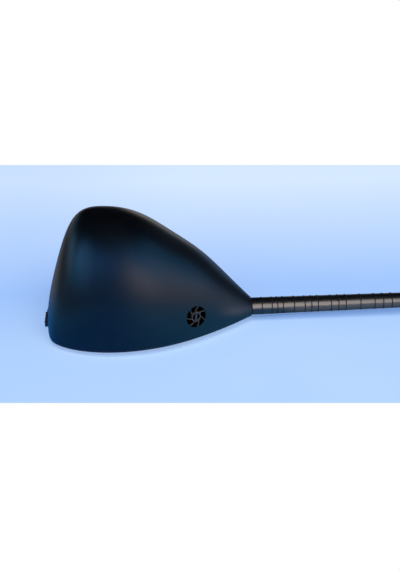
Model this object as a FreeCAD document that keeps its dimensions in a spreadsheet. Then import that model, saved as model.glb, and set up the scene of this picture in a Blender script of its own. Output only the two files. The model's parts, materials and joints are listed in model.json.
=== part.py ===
import FreeCAD, Part
import math
import os

import Sketcher
from FreeCAD import Placement, Rotation, Vector

# Short-neck baglama, a long-necked lute, lying on its face: bowl up, resting on the bridge and the first peg.
# It is built flat: X runs from the tail to the head, Z from the soundboard's face into the bowl,
# and the bass side is -Y. At the end every piece is turned by the same small angle to lie on the ground.

os.makedirs("parts", exist_ok=True)
doc = FreeCAD.newDocument("baglama")

# Driving sizes, in millimetres and degrees
driving_sizes = {
    "string_length": 700.0,
    "bowl_length": 392.2,
    "bowl_width": 246.0,
    "bowl_depth": 229.6,
    "bowl_wall": 4.0,
    "tail_flat_width": 40.0,
    "tail_flat_depth": 20.0,
    "joint_shoulder": 2.3,
    "board_thickness": 3.0,
    "binding_width": 2.4,
    "block_length": 55.0,
    "tail_block_length": 22.0,
    "tail_block_width": 60.0,
    "tail_block_height": 38.0,
    "brace_width": 6.0,
    "brace_height": 12.0,
    "glue_gap": 0.2,
    "rosette_diameter": 44.0,
    "rosette_spoke": 1.5,
    "rosette_height_angle": 17.8,
    "bridge_from_tail": 82.5,
    "bridge_width": 62.0,
    "bridge_crest_width": 46.0,
    "bridge_foot": 8.0,
    "bridge_crest": 2.2,
    "bridge_arch": 4.5,
    "string_rise_bridge": 10.5,
    "string_rise_nut": 1.7,
    "string_cover": 0.2,
    "notch_side_gap": 0.35,
    "notch_under_gap": 0.45,
    "neck_joint_width": 34.6,
    "neck_joint_depth": 26.0,
    "neck_nut_width": 28.8,
    "neck_nut_depth": 21.6,
    "fingerboard_thickness": 3.0,
    "tenon_length": 40.0,
    "tenon_width": 16.0,
    "tenon_height": 12.0,
    "fit_gap": 0.3,
    "nut_thickness": 4.0,
    "nut_bevel": 1.5,
    "head_lean": 9.0,
    "head_length": 178.0,
    "head_depth": 19.0,
    "head_end_depth": 17.0,
    "head_end_width": 26.0,
    "head_back_bulge": 4.0,
    "bevel_width": 11.8,
    "bevel_depth": 6.0,
    "side_peg_depth": 10.5,
    "peg_radius": 3.6,
    "peg_fit": 0.1,
    "peg_free_length": 9.0,
    "peg_end_show": 1.5,
    "grip_waist": 8.0,
    "grip_width": 22.0,
    "grip_height": 19.0,
    "grip_thickness": 7.0,
    "fret_width": 2.0,
    "fret_thickness": 1.0,
    "fret_gap": 0.3,
    "plain_wire": 0.3,
    "wound_wire": 0.5,
    "winding_pitch": 1.1,
    "winding_gap": 0.05,
    "winding_level": 5.8,
    "wire_bend": 3.0,
    "holder_width": 33.0,
    "holder_thickness": 3.0,
    "holder_above_board": 6.0,
    "holder_below_board": 14.0,
    "finger_width": 2.2,
    "finger_length": 4.0,
    "finger_height": 13.0,
    "string_rise_tail": 3.0,
    "drum_radius": 1.1,
    "overrun": 10.0,
    "sewing_tolerance": 0.0001,
}
sheet = doc.addObject("Spreadsheet::Sheet", "sizes")
for row, (alias, value) in enumerate(driving_sizes.items(), start=1):
    sheet.set(f"A{row}", alias)
    sheet.set(f"B{row}", str(value))
    sheet.setAlias(f"B{row}", alias)
doc.recompute()

# Stations along the bowl: the share of its length is the square of each run share
run_shares = (0.04, 0.12, 0.25, 0.40, 0.55, 0.70, 0.80, 0.88, 0.945, 1.0)
# Half width and depth at the stations between the tail flat and the neck joint
width_shares = (0.498, 0.744, 0.909, 1.000, 0.964, 0.827, 0.625, 0.400)
depth_shares = (0.220, 0.522, 0.915, 1.000, 0.909, 0.728, 0.543, 0.323)
brace_place_shares = (0.34, 0.645)
stave_count = 24
facet_count = 12

# Side rosette: its place along the bowl, seven swirled petals round a ring, and two pointed openings inside it
rosette_place_share = 0.7136
petal_count = 7
petal_swirl_share = 0.5
rosette_rim_share = 0.93
rosette_hub_share = 0.42
lens_tip_share = 0.86
lens_stem_share = 0.16
lens_belly_share = 0.8
lens_waist_share = 1.3

# Fretting ratios: the open string's length over the length that sounds, from the nut to the bowl
fret_ratio_shares = (18 / 17, 12 / 11, 9 / 8, 81 / 68, 27 / 22, 81 / 64, 4 / 3, 24 / 17, 16 / 11,
                     3 / 2, 27 / 17, 18 / 11, 27 / 16, 16 / 9, 32 / 17, 64 / 33, 2 / 1, 36 / 17)

# Strings from the bass side: places across the nut, the bridge and the tail, and whether the wire is wound
nut_place_shares = (-0.333, -0.257, -0.038, 0.038, 0.226, 0.295, 0.365)
bridge_place_shares = (-0.29, -0.23, -0.033, 0.033, 0.20, 0.255, 0.31)
tail_place_shares = (-0.352, -0.27, -0.05, 0.05, 0.234, 0.311, 0.388)
wound = (True, False, False, False, False, False, True)
winding_turns = 2
wire_sides = 4
drum_sides = 6

# Pegs along the head, nearest first, and the front pegs' place across it
side_peg_shares = (0.28, 0.505, 0.73)
front_peg_shares = (0.17, 0.395, 0.62, 0.845)
front_peg_side_shares = (0.05, 0.075, 0.115, 0.165)
grip_ear_share = 0.6
grip_curve_share = 0.25

# Arcs that make up the neck's round back, and flats round the back of the head and of a fret
back_arc_count = 6
head_flat_count = 8
fret_flat_count = 8

# Where the head's section turns from the neck's to its own, the bridge's arches, and the nut's highest line
head_shoulder_share = 0.1
bridge_arch_start_share = 0.09
bridge_arch_end_share = 0.39
nut_break_share = 0.75


# A length or angle that knows both its number and the sheet expression behind it
class Size:
    def __init__(self, value, text):
        self.value = float(value)
        self.text = text

    def __float__(self):
        return self.value

    def __neg__(self):
        return Size(-self.value, f"(-{self.text})")

    def __add__(self, other):
        other = as_size(other)
        return Size(self.value + other.value, f"({self.text} + {other.text})")

    def __sub__(self, other):
        other = as_size(other)
        return Size(self.value - other.value, f"({self.text} - {other.text})")

    def __mul__(self, other):
        other = as_size(other)
        return Size(self.value * other.value, f"({self.text} * {other.text})")

    def __truediv__(self, other):
        other = as_size(other)
        return Size(self.value / other.value, f"({self.text} / {other.text})")

    __radd__ = __add__
    __rmul__ = __mul__


def as_size(number):
    if isinstance(number, Size):
        return number
    return Size(number, f"({float(number)!r})")


def size(alias):
    return Size(sheet.get(alias), f"sizes.{alias}")


def vector(x, y, z=0):
    return Vector(float(x), float(y), float(z))


# Places that several pieces share
bowl_length = size("bowl_length")
board = size("board_thickness")
tail_x = bowl_length * run_shares[0] * run_shares[0]
bridge_x = size("bridge_from_tail")
nut_x = bridge_x + size("string_length")
nut_start_x = nut_x - size("nut_thickness") * nut_break_share
nut_end_x = nut_start_x + size("nut_thickness")
tenon_low = size("fingerboard_thickness") * 2

# The head leans back from a line just behind the nut
lean = size("head_lean")
lean_cosine = Size(math.cos(math.radians(float(lean))), "cos(sizes.head_lean * 1 deg)")
lean_tangent = Size(math.tan(math.radians(float(lean))), "tan(sizes.head_lean * 1 deg)")
head_x = nut_end_x + size("fingerboard_thickness") * lean_tangent
head_frame = Placement(vector(head_x, 0), Rotation(Vector(0, 1, 0), -float(lean)))


# Neck width and depth, at a place between the joint and the nut
def neck_width(x):
    change = size("neck_nut_width") - size("neck_joint_width")
    return size("neck_joint_width") + change * ((x - bowl_length) / (nut_end_x - bowl_length))


def neck_depth(x):
    change = size("neck_nut_depth") - size("neck_joint_depth")
    return size("neck_joint_depth") + change * ((x - bowl_length) / (nut_end_x - bowl_length))


# Sketch and feature helpers
def new_body(label):
    body = doc.addObject("PartDesign::Body", label)
    body.Label = label
    return body


def new_sketch(body, name, role, lift=None, tilt=0.0):
    sketch = body.newObject("Sketcher::SketchObject", name)
    plane = next(item for item in body.Origin.OriginFeatures if item.Role == role)
    sketch.AttachmentSupport = [(plane, "")]
    sketch.MapMode = "FlatFace"
    sketch.AttachmentOffset = Placement(Vector(), Rotation(Vector(1, 0, 0), tilt))
    if lift is not None:
        sketch.setExpression("AttachmentOffset.Base.z", lift.text)
    return sketch


def bind_constraint(sketch, kind, ids, value):
    value = as_size(value)
    index = sketch.addConstraint(Sketcher.Constraint(kind, *ids, value.value))
    sketch.setExpression(f"Constraints[{index}]", value.text)


# Fixes one point of a sketch at bound distances from the sketch's origin
def pin_point(sketch, geometry, end, point):
    for kind, axis, value in (("DistanceX", -2, point[0]), ("DistanceY", -1, point[1])):
        if float(value) == 0:
            sketch.addConstraint(Sketcher.Constraint("PointOnObject", geometry, end, axis))
        else:
            bind_constraint(sketch, kind, (-1, 1, geometry, end), value)


# Closed loop of corners. An entry in vias makes the edge after that corner an arc through the given point
def add_loop(sketch, corners, vias=None):
    vias = vias or {}
    edges = []
    for k, corner in enumerate(corners):
        start = vector(*corner)
        end = vector(*corners[(k + 1) % len(corners)])
        if k in vias:
            edge = sketch.addGeometry(Part.Arc(start, vector(*vias[k]), end))
            via = sketch.addGeometry(Part.Point(vector(*vias[k])), True)
            pin_point(sketch, via, 1, vias[k])
        else:
            edge = sketch.addGeometry(Part.LineSegment(start, end))
            via = None
        near = sketch.getPoint(edge, 1).distanceToPoint(start) < sketch.getPoint(edge, 2).distanceToPoint(start)
        edges.append((edge, 1 if near else 2, 2 if near else 1, via))
    for k, (edge, first, last, via) in enumerate(edges):
        following = edges[(k + 1) % len(edges)]
        sketch.addConstraint(Sketcher.Constraint("Coincident", edge, last, following[0], following[1]))
        pin_point(sketch, edge, first, corners[k])
        if via is not None:
            sketch.addConstraint(Sketcher.Constraint("PointOnObject", via, 1, edge))


def add_rectangle(sketch, left, low, right, high):
    add_loop(sketch, [(left, low), (right, low), (right, high), (left, high)])


def add_circle(sketch, across, up, radius):
    circle = sketch.addGeometry(Part.Circle(vector(across, up), Vector(0, 0, 1), float(radius)))
    pin_point(sketch, circle, 3, (across, up))
    bind_constraint(sketch, "Radius", (circle,), radius)


def add_pad(body, sketch, length, side="One side", back=False):
    pad = body.newObject("PartDesign::Pad", sketch.Name + "_pad")
    pad.Profile = sketch
    pad.SideType = side
    pad.Reversed = back
    pad.setExpression("Length", length.text)
    doc.recompute()
    return pad


def add_pocket(body, sketch):
    before = body.Shape.Volume
    pocket = body.newObject("PartDesign::Pocket", sketch.Name + "_cut")
    pocket.Profile = sketch
    pocket.Type = "ThroughAll"
    pocket.SideType = "Symmetric"
    doc.recompute()
    if body.Shape.Volume >= before:
        raise ValueError(sketch.Name + " cuts nothing")
    return pocket


def add_loft(body, name, sketches):
    loft = body.newObject("PartDesign::AdditiveLoft", name)
    loft.Profile = sketches[0]
    loft.Sections = sketches[1:]
    loft.Ruled = True
    doc.recompute()
    return loft


def add_feature(label, shape):
    feature = doc.addObject("Part::Feature", label)
    feature.Label = label
    feature.Shape = shape
    return feature


# Bowl: one curve carries the half width in Y and the depth in Z for each X, and half-elliptic ribs span it
def bowl_curve(inset):
    lengths = [float(bowl_length) * share * share for share in run_shares]
    half_width = float(size("bowl_width")) / 2
    depth = float(size("bowl_depth"))
    shoulder = float(size("joint_shoulder"))
    widths = [float(size("tail_flat_width")) / 2] + [half_width * share for share in width_shares]
    widths.append(float(size("neck_joint_width")) / 2 + shoulder)
    depths = [float(size("tail_flat_depth"))] + [depth * share for share in depth_shares]
    depths.append(float(size("neck_joint_depth")) + shoulder)
    curve = Part.BSplineCurve()
    points = [Vector(*place) for place in zip(lengths, widths, depths)]
    curve.interpolate(Points=points, Parameters=list(run_shares))
    if inset == 0:
        return curve
    inner_points = []
    for share in run_shares:
        point, slope = curve.getD1(share)
        plan = math.hypot(slope.x, slope.y)
        side = math.hypot(slope.x, slope.z)
        shift = inset * (slope.y / plan + slope.z / side) / 2
        inner_points.append(point + Vector(shift, -inset * slope.x / plan, -inset * slope.x / side))
    inner = Part.BSplineCurve()
    inner.interpolate(Points=inner_points, Parameters=list(run_shares))
    return inner


# Place on a rib: a half ellipse whose half width and depth are the point's Y and Z
def rib_place(point, share):
    angle = math.pi * share
    return Vector(point.x, point.y * math.cos(angle), point.z * math.sin(angle))


# Line along the bowl at one share of the way round its ribs
def stave_line(curve, share):
    line = Part.BSplineCurve()
    poles = [rib_place(pole, share) for pole in curve.getPoles()]
    line.buildFromPolesMultsKnots(poles, curve.getMultiplicities(), curve.getKnots(), False, curve.Degree)
    return line.toShape()


def polygon_face(corners):
    return Part.Face(Part.makePolygon(corners + corners[:1]))


# Flat outline at the soundboard, between two lines along the bowl
def plan_face(curve):
    near, far = stave_line(curve, 0), stave_line(curve, 1)
    tail = Part.LineSegment(far.Vertexes[0].Point, near.Vertexes[0].Point).toShape()
    neck = Part.LineSegment(near.Vertexes[1].Point, far.Vertexes[1].Point).toShape()
    return Part.Face(Part.Wire([near, neck, far, tail]))


def closed_solid(faces):
    shell = Part.Shell(faces)
    shell.sewShape()
    solid = Part.Solid(shell)
    tolerance = float(size("sewing_tolerance"))
    solid.fix(tolerance, tolerance, tolerance)
    return solid


# Outside of the bowl: narrow staves, each ruled between two lines along it
def outer_solid():
    curve = bowl_curve(0)
    lines = [stave_line(curve, k / stave_count) for k in range(stave_count + 1)]
    faces = [Part.makeRuledSurface(first, second) for first, second in zip(lines, lines[1:])]
    for end in (0, 1):
        faces.append(polygon_face([line.Vertexes[end].Point for line in lines]))
    return closed_solid(faces + [plan_face(curve)])


# Inside of the bowl at a depth under its outside: flat facets between the ribs at the stations
def inner_solid(inset):
    curve = bowl_curve(inset)
    ribs = [[rib_place(curve.value(share), k / facet_count) for k in range(facet_count + 1)]
            for share in run_shares]
    faces = [polygon_face(ribs[0]), polygon_face(ribs[-1])]
    for before, after in zip(ribs, ribs[1:]):
        for k in range(facet_count):
            faces.append(polygon_face([before[k], before[k + 1], after[k + 1]]))
            faces.append(polygon_face([before[k], after[k + 1], after[k]]))
    faces.append(polygon_face([rib[0] for rib in ribs] + [rib[-1] for rib in reversed(ribs)]))
    return closed_solid(faces)


# Block between two places along and across the instrument, from the board's inner face up
def block_shape(start, end, width, height):
    box = Part.makeBox(float(end) - float(start), float(width), float(height))
    box.translate(vector(start, -float(width) / 2, board))
    return box


# Board of the bowl's outline, with ruled edges
def plate_shape(inset):
    front = plan_face(bowl_curve(inset))
    back = front.translated(vector(0, 0, board))
    edges = [Part.makeRuledSurface(first, second) for first, second in zip(front.Edges, back.Edges)]
    return closed_solid([front, back] + edges)


# Arc through three points given by radius and angle
def polar_arc(places):
    return Part.Arc(*[Vector(radius * math.cos(angle), radius * math.sin(angle), 0)
                      for radius, angle in places]).toShape()


# One swirled petal opening, between two curved spokes and two rings
def petal_face(angle, inner, outer):
    spoke = float(size("rosette_spoke"))
    pitch = math.tau / petal_count
    radii = (inner, (inner + outer) / 2, outer)
    sides = []
    for hand in (1, -1):
        places = []
        for k, radius in enumerate(radii):
            swirl = -petal_swirl_share * pitch * k / 2
            places.append((radius, angle + swirl + hand * (pitch - spoke / radius) / 2))
        sides.append(places)
    rings = []
    for k in (0, 2):
        middle = (sides[0][k][1] + sides[1][k][1]) / 2
        rings.append([sides[0][k], (radii[k], middle), sides[1][k]])
    edges = [polar_arc(places) for places in (sides[0], rings[1], sides[1], rings[0])]
    return Part.Face(Part.Wire(Part.__sortEdges__(edges)))


# One of the two pointed openings beside the rosette's stem
def lens_face(hand, radius):
    tip = radius * lens_tip_share
    stem = radius * lens_stem_share
    low, high = Vector(hand * stem, -tip, 0), Vector(hand * stem, tip, 0)
    edges = [Part.Arc(low, Vector(hand * radius * lens_belly_share, 0, 0), high).toShape(),
             Part.Arc(low, Vector(hand * stem * lens_waist_share, 0, 0), high).toShape()]
    return Part.Face(Part.Wire(edges))


# Cutters of the side rosette, a carved pinwheel in the wall on the bass side near the neck
def rosette_cutters():
    curve = bowl_curve(0)
    angle = math.radians(float(size("rosette_height_angle")))
    point, slope = curve.getD1(math.sqrt(rosette_place_share))
    place = Vector(point.x, -point.y * math.cos(angle), point.z * math.sin(angle))
    along = Vector(slope.x, -slope.y * math.cos(angle), slope.z * math.sin(angle))
    upward = Vector(0, point.y * math.sin(angle), point.z * math.cos(angle))
    normal = along.cross(upward).normalize()
    if normal.y > 0:
        normal = -normal
    frame = Placement(place, Rotation(along, upward, normal, "ZXY"))
    radius = float(size("rosette_diameter")) / 2
    hub = radius * rosette_hub_share
    pitch = math.tau / petal_count
    faces = [petal_face(k * pitch, hub, radius * rosette_rim_share) for k in range(petal_count)]
    faces += [lens_face(hand, hub - float(size("rosette_spoke"))) for hand in (1, -1)]
    reach = float(size("overrun"))
    cutters = []
    for face in faces:
        cutter = face.extrude(Vector(0, 0, 2 * reach))
        cutter.translate(Vector(0, 0, -reach))
        cutter.Placement = frame * cutter.Placement
        cutters.append(cutter)
    return cutters


def mortise_shape():
    gap = float(size("fit_gap"))
    width, height = float(size("tenon_width")) + 2 * gap, float(size("tenon_height")) + 2 * gap
    length = float(size("tenon_length")) + gap
    box = Part.makeBox(length + float(size("overrun")), width, height)
    box.translate(vector(float(bowl_length) - length, -width / 2, float(tenon_low) - gap))
    return box


def make_bowl():
    under = Part.makeBox(float(bowl_length) * 2, float(size("bowl_width")) * 2, float(board))
    under.translate(vector(-bowl_length / 2, -size("bowl_width"), 0))
    wall = outer_solid().cut(inner_solid(float(size("bowl_wall"))))
    shell = wall.cut([under, mortise_shape()] + rosette_cutters())
    return add_feature("bowl", shell.Solids[0] if len(shell.Solids) == 1 else shell)


def make_inner_pieces():
    inner = inner_solid(float(size("bowl_wall") + size("glue_gap")))
    neck_end = block_shape(bowl_length - size("block_length"), bowl_length, size("bowl_width"),
                           size("bowl_depth"))
    add_feature("neck_block", inner.common(neck_end).cut(mortise_shape()))
    tail_end = block_shape(0, tail_x + size("bowl_wall") + size("tail_block_length"),
                           size("tail_block_width"), size("tail_block_height"))
    add_feature("tail_block", inner.common(tail_end))
    for label, share in zip(("brace_tail", "brace_neck"), brace_place_shares):
        middle = bowl_length * share
        bar = block_shape(middle - size("brace_width") / 2, middle + size("brace_width") / 2,
                          size("bowl_width"), size("brace_height"))
        add_feature(label, inner.common(bar))


def make_boards():
    inset = float(size("binding_width"))
    add_feature("soundboard", plate_shape(inset))
    add_feature("edge_binding", plate_shape(0).cut(plate_shape(inset)))


# Places across a round back and up it: a half circle, or a low bulge where the rise is squared
def back_shares(steps, power=1):
    angles = [math.pi * k / steps for k in range(steps + 1)]
    return [(math.cos(angle), math.sin(angle) ** power) for angle in angles]


# Section with a flat front, straight sides and a back through places given as shares, in arcs or in flats
def add_round_back(sketch, half, front, spring, depth, place_shares, in_arcs):
    rise = depth - spring
    places = [(half * across, spring + rise * up) for across, up in place_shares]
    front_corners = [(-half, front), (half, front)]
    if in_arcs:
        vias = {k + 2: place for k, place in enumerate(places[1::2])}
        add_loop(sketch, front_corners + places[::2], vias)
    else:
        add_loop(sketch, front_corners + places)


def add_neck_section(sketch, width, depth, front, in_arcs=True):
    steps = 2 * back_arc_count if in_arcs else head_flat_count
    add_round_back(sketch, width / 2, front, depth - width / 2, depth, back_shares(steps), in_arcs)


def make_neck():
    body = new_body("neck")
    front = size("fingerboard_thickness")
    joint = new_sketch(body, "neck_joint_section", "YZ_Plane", bowl_length)
    add_neck_section(joint, size("neck_joint_width"), size("neck_joint_depth"), front)
    end = new_sketch(body, "neck_nut_section", "YZ_Plane", head_x, -float(lean))
    add_neck_section(end, size("neck_nut_width"), size("neck_nut_depth"), front / lean_cosine)
    add_loft(body, "neck_shaft", [joint, end])
    tenon = new_sketch(body, "neck_tenon", "YZ_Plane", bowl_length)
    half = size("tenon_width") / 2
    add_rectangle(tenon, -half, tenon_low, half, tenon_low + size("tenon_height"))
    add_pad(body, tenon, size("tenon_length"), back=True)


def make_fingerboard():
    body = new_body("fingerboard")
    plan = new_sketch(body, "fingerboard_plan", "XY_Plane")
    joint_half = size("neck_joint_width") / 2
    nut_half = neck_width(nut_start_x) / 2
    add_loop(plan, [(bowl_length, -joint_half), (nut_start_x, -nut_half), (nut_start_x, nut_half),
                    (bowl_length, joint_half)])
    add_pad(body, plan, size("fingerboard_thickness"))


# String centres across the nut, the bridge and the tail
def wire_size(k):
    return size("wound_wire") if wound[k] else size("plain_wire")


def nut_point(k):
    return (nut_x, size("neck_nut_width") * nut_place_shares[k], -size("string_rise_nut"))


def bridge_point(k):
    return (bridge_x, size("bridge_width") * bridge_place_shares[k], -size("string_rise_bridge"))


def tail_point(k):
    return (tail_x - size("holder_thickness") - size("fit_gap"), size("holder_width") * tail_place_shares[k],
            -size("string_rise_tail"))


# Slots for the strings, open at the crest
def add_notches(body, name, points, crest):
    notches = new_sketch(body, name, "YZ_Plane")
    for k, (x, y, z) in enumerate(points):
        half = wire_size(k) / 2
        side = half + size("notch_side_gap")
        add_rectangle(notches, y - side, crest - size("overrun"), y + side, z + half + size("notch_under_gap"))
    add_pocket(body, notches)


def make_nut():
    body = new_body("nut")
    profile = new_sketch(body, "nut_profile", "YZ_Plane", nut_start_x)
    half = neck_width(nut_start_x) / 2
    crest = -size("string_rise_nut") - size("wound_wire") / 2 - size("string_cover")
    bevel = size("nut_bevel")
    seat = size("fingerboard_thickness")
    add_loop(profile, [(-half, seat), (half, seat), (half, crest + bevel), (half - bevel, crest),
                       (-half + bevel, crest), (-half, crest + bevel)])
    add_pad(body, profile, size("nut_thickness"))
    add_notches(body, "nut_notches", [nut_point(k) for k in range(len(wound))], crest)


def make_bridge():
    body = new_body("bridge")
    foot = size("bridge_foot") / 2
    top = size("bridge_crest") / 2
    width = size("bridge_width")
    crest = -size("string_rise_bridge") - size("wound_wire") / 2 - size("string_cover")
    profile = new_sketch(body, "bridge_profile", "XZ_Plane")
    add_loop(profile, [(bridge_x - foot, 0), (bridge_x + foot, 0), (bridge_x + top, crest),
                       (bridge_x - top, crest)])
    add_pad(body, profile, width, "Symmetric")
    arches = new_sketch(body, "bridge_arches", "YZ_Plane")
    run = width * bridge_arch_end_share
    mid = width * bridge_arch_start_share
    rise = size("bridge_arch")
    over = size("overrun")
    for hand in (1, -1):
        add_loop(arches, [(mid * hand, over), (run * hand, over), (run * hand, 0), (mid * hand, 0)],
                 {2: ((run + mid) / 2 * hand, -rise)})
        end = width / 2
        shoulder = size("bridge_crest_width") / 2
        add_loop(arches, [(end * hand, -rise / 2), ((end + over) * hand, -rise / 2),
                          ((end + over) * hand, crest - over), (shoulder * hand, crest - over),
                          (shoulder * hand, crest)])
    add_pocket(body, arches)
    add_notches(body, "bridge_notches", [bridge_point(k) for k in range(len(wound))], crest)


# Comb at the tail: a plate on the flat, and fingers with the ends of one course between each two
def make_string_holder():
    body = new_body("string_holder")
    half = size("holder_width") / 2
    low = -size("holder_above_board")
    plate = new_sketch(body, "holder_plate", "YZ_Plane", tail_x)
    add_rectangle(plate, -half, low, half, size("holder_below_board"))
    add_pad(body, plate, size("holder_thickness"), back=True)
    fingers = new_sketch(body, "holder_fingers", "YZ_Plane", tail_x)
    finger = size("finger_width")
    step = (size("holder_width") - finger) / 3
    for k in range(4):
        left = step * k - half
        add_rectangle(fingers, left, low, left + finger, low + size("finger_height"))
    add_pad(body, fingers, size("holder_thickness") + size("finger_length"), back=True)
    add_notches(body, "holder_slots", [tail_point(k) for k in range(len(wound))], low)


# Head in its own frame: X along it from the nut, Z from its front face to its back
def make_head():
    body = new_body("head")
    width, depth = size("neck_nut_width"), size("neck_nut_depth")
    start = new_sketch(body, "head_start", "YZ_Plane")
    add_neck_section(start, width, depth, as_size(0), in_arcs=False)
    sections = [start]
    length = size("head_length")
    for name, share, half, back in (("head_shoulder", head_shoulder_share, width / 2, size("head_depth")),
                                    ("head_end", 1, size("head_end_width") / 2, size("head_end_depth"))):
        section = new_sketch(body, name, "YZ_Plane", length * share)
        spring = back - size("head_back_bulge")
        add_round_back(section, half, as_size(0), spring, back, back_shares(head_flat_count, 2), False)
        sections.append(section)
    add_loft(body, "head_wood", sections)
    tip = new_sketch(body, "head_tip", "XY_Plane")
    round_x = length - size("head_end_width") / 2
    half, over = size("head_end_width") / 2, size("overrun")
    add_loop(tip, [(round_x, half), (round_x, half + over), (length + over, half + over),
                   (length + over, -half - over), (round_x, -half - over), (round_x, -half)],
             {5: (length, 0)})
    add_pocket(body, tip)
    bevel = new_sketch(body, "head_bevel", "YZ_Plane")
    edge = -width / 2
    slope = size("bevel_depth") / size("bevel_width")
    add_loop(bevel, [(edge + size("bevel_width"), 0), (edge - over, size("bevel_depth") + slope * over),
                     (edge - over, -over), (edge + size("bevel_width"), -over)])
    add_pocket(body, bevel)
    front = new_sketch(body, "head_front_holes", "XY_Plane")
    hole = size("peg_radius") + size("peg_fit")
    for share, across in zip(front_peg_shares, front_peg_side_shares):
        add_circle(front, length * share, width * across, hole)
    add_pocket(body, front)
    side = new_sketch(body, "head_side_holes", "XZ_Plane")
    for share in side_peg_shares:
        add_circle(side, length * share, size("side_peg_depth"), hole)
    add_pocket(body, side)
    placements["head"] = head_frame


# Peg along its own Z: the origin is where it leaves the wood and the grip is above
def make_peg(label, inside, place):
    body = new_body(label)
    radius = size("peg_radius")
    deep = -inside - size("peg_end_show")
    top = size("peg_free_length")
    shank = new_sketch(body, label + "_shank", "XZ_Plane")
    add_loop(shank, [(0, deep), (radius, deep), (radius, top), (0, top)])
    turn = body.newObject("PartDesign::Revolution", label + "_turned")
    turn.Profile = shank
    turn.ReferenceAxis = (shank, ["V_Axis"])
    turn.Angle = 360
    doc.recompute()
    grip = new_sketch(body, label + "_grip", "XZ_Plane")
    wide, high = size("grip_width") / 2, size("grip_height")
    waist = size("grip_waist") / 2
    ear = top + high * grip_ear_share
    hollow = waist + (wide - waist) * grip_curve_share
    curve = ear - (ear - top) * grip_curve_share
    add_loop(grip, [(waist, top), (hollow, curve), (wide, ear), (wide, top + high), (-wide, top + high),
                    (-wide, ear), (-hollow, curve), (-waist, top)])
    add_pad(body, grip, size("grip_thickness"), "Symmetric")
    placements[label] = place


def make_pegs():
    length, width = size("head_length"), size("neck_nut_width")
    places = []
    for k, share in enumerate(side_peg_shares, start=1):
        root = vector(length * share, -width / 2, size("side_peg_depth"))
        places.append(head_frame * Placement(root, Rotation(Vector(1, 0, 0), 90)))
        make_peg(f"peg_side_{k}", width, places[-1])
    for k, (share, across) in enumerate(zip(front_peg_shares, front_peg_side_shares), start=1):
        root = vector(length * share, width * across)
        places.append(head_frame * Placement(root, Rotation(Vector(1, 0, 0), 180)))
        make_peg(f"peg_front_{k}", size("head_depth"), places[-1])
    return places


# Section of a fret at a margin from the neck: straight in front and beside it, and flats touching its round back
def add_band_loop(sketch, x, margin):
    half = neck_width(x) / 2 + margin
    spring = neck_depth(x) - neck_width(x) / 2
    step = math.pi / fret_flat_count
    reach = half * (1 / math.cos(step / 2))
    corners = [(-half, -margin), (half, -margin)]
    for k in range(fret_flat_count):
        angle = step * (k + 1 / 2)
        corners.append((reach * math.cos(angle), spring + reach * math.sin(angle)))
    add_loop(sketch, corners)


# Tied frets: closed bands round the neck with their clearance, as many as the neck has room for
def make_frets():
    width, gap = size("fret_width"), size("fret_gap")
    places = [bridge_x + size("string_length") / ratio for ratio in fret_ratio_shares]
    on_neck = [x for x in places if float(x - width) > float(bowl_length)]
    for k, x in enumerate(on_neck, start=1):
        body = new_body(f"fret_{k:02d}")
        ring = new_sketch(body, f"fret_ring_{k:02d}", "YZ_Plane", x - width / 2)
        add_band_loop(ring, x, gap + size("fret_thickness"))
        add_band_loop(ring, x, gap)
        add_pad(body, ring, width)


# Edges of straight runs joined by tangent arcs of one radius
def wire_path(points, bend):
    edges = []
    start = points[0]
    for before, corner, after in zip(points, points[1:], points[2:]):
        coming = (before - corner).normalize()
        going = (after - corner).normalize()
        turn = math.pi - coming.getAngle(going)
        reach = bend * math.tan(turn / 2)
        first, last = corner + coming * reach, corner + going * reach
        inward = (coming + going).normalize()
        middle = corner + inward * (bend / math.cos(turn / 2) - bend)
        edges += [Part.LineSegment(start, first).toShape(), Part.Arc(first, middle, last).toShape()]
        start = last
    edges.append(Part.LineSegment(start, points[-1]).toShape())
    return edges


# Regular polygon round a place, square to a direction
def ring_face(place, direction, radius, sides):
    across = direction.cross(Vector(0, 0, 1)).normalize()
    upward = across.cross(direction).normalize()
    corners = []
    for k in range(sides):
        angle = math.tau * (k + 1 / 2) / sides
        corners.append(place + across * (radius * math.cos(angle)) + upward * (radius * math.sin(angle)))
    return polygon_face(corners)


# Wire swept along a path, with a few flat sides in place of a round section
def tube(path, start, direction, radius):
    section = ring_face(start, direction, radius, wire_sides).OuterWire
    return path.makePipeShell([section], True, False)


# Two arcs that leave one point along a direction and reach another along its own
def biarc(start, out, end, into):
    chord = end - start
    both = out + into
    spread = 2 * (1 - out.dot(into))
    reach = (math.sqrt(chord.dot(both) ** 2 + spread * chord.dot(chord)) - chord.dot(both)) / spread
    first, last = start + out * reach, end - into * reach
    middle = (first + last) * 0.5
    arcs = []
    for a, knee, b in ((start, first, middle), (middle, last, end)):
        half_chord = a.distanceToPoint(b) / 2
        lean_angle = math.acos(min(1.0, half_chord / knee.distanceToPoint(a)))
        centre = (a + b) * 0.5
        sagitta = half_chord * math.tan(lean_angle / 2)
        arcs.append(Part.Arc(a, centre + (knee - centre).normalize() * sagitta, b).toShape())
    return arcs


# Where a wire from the nut meets its peg, in the peg's frame, and its heading there
def meeting_place(start, radius):
    away = math.hypot(start.x, start.y)
    heading = math.atan2(-start.y, -start.x) - math.asin(radius / away)
    level = float(size("winding_level"))
    return heading, Vector(radius * math.sin(heading), -radius * math.cos(heading), level)


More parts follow.
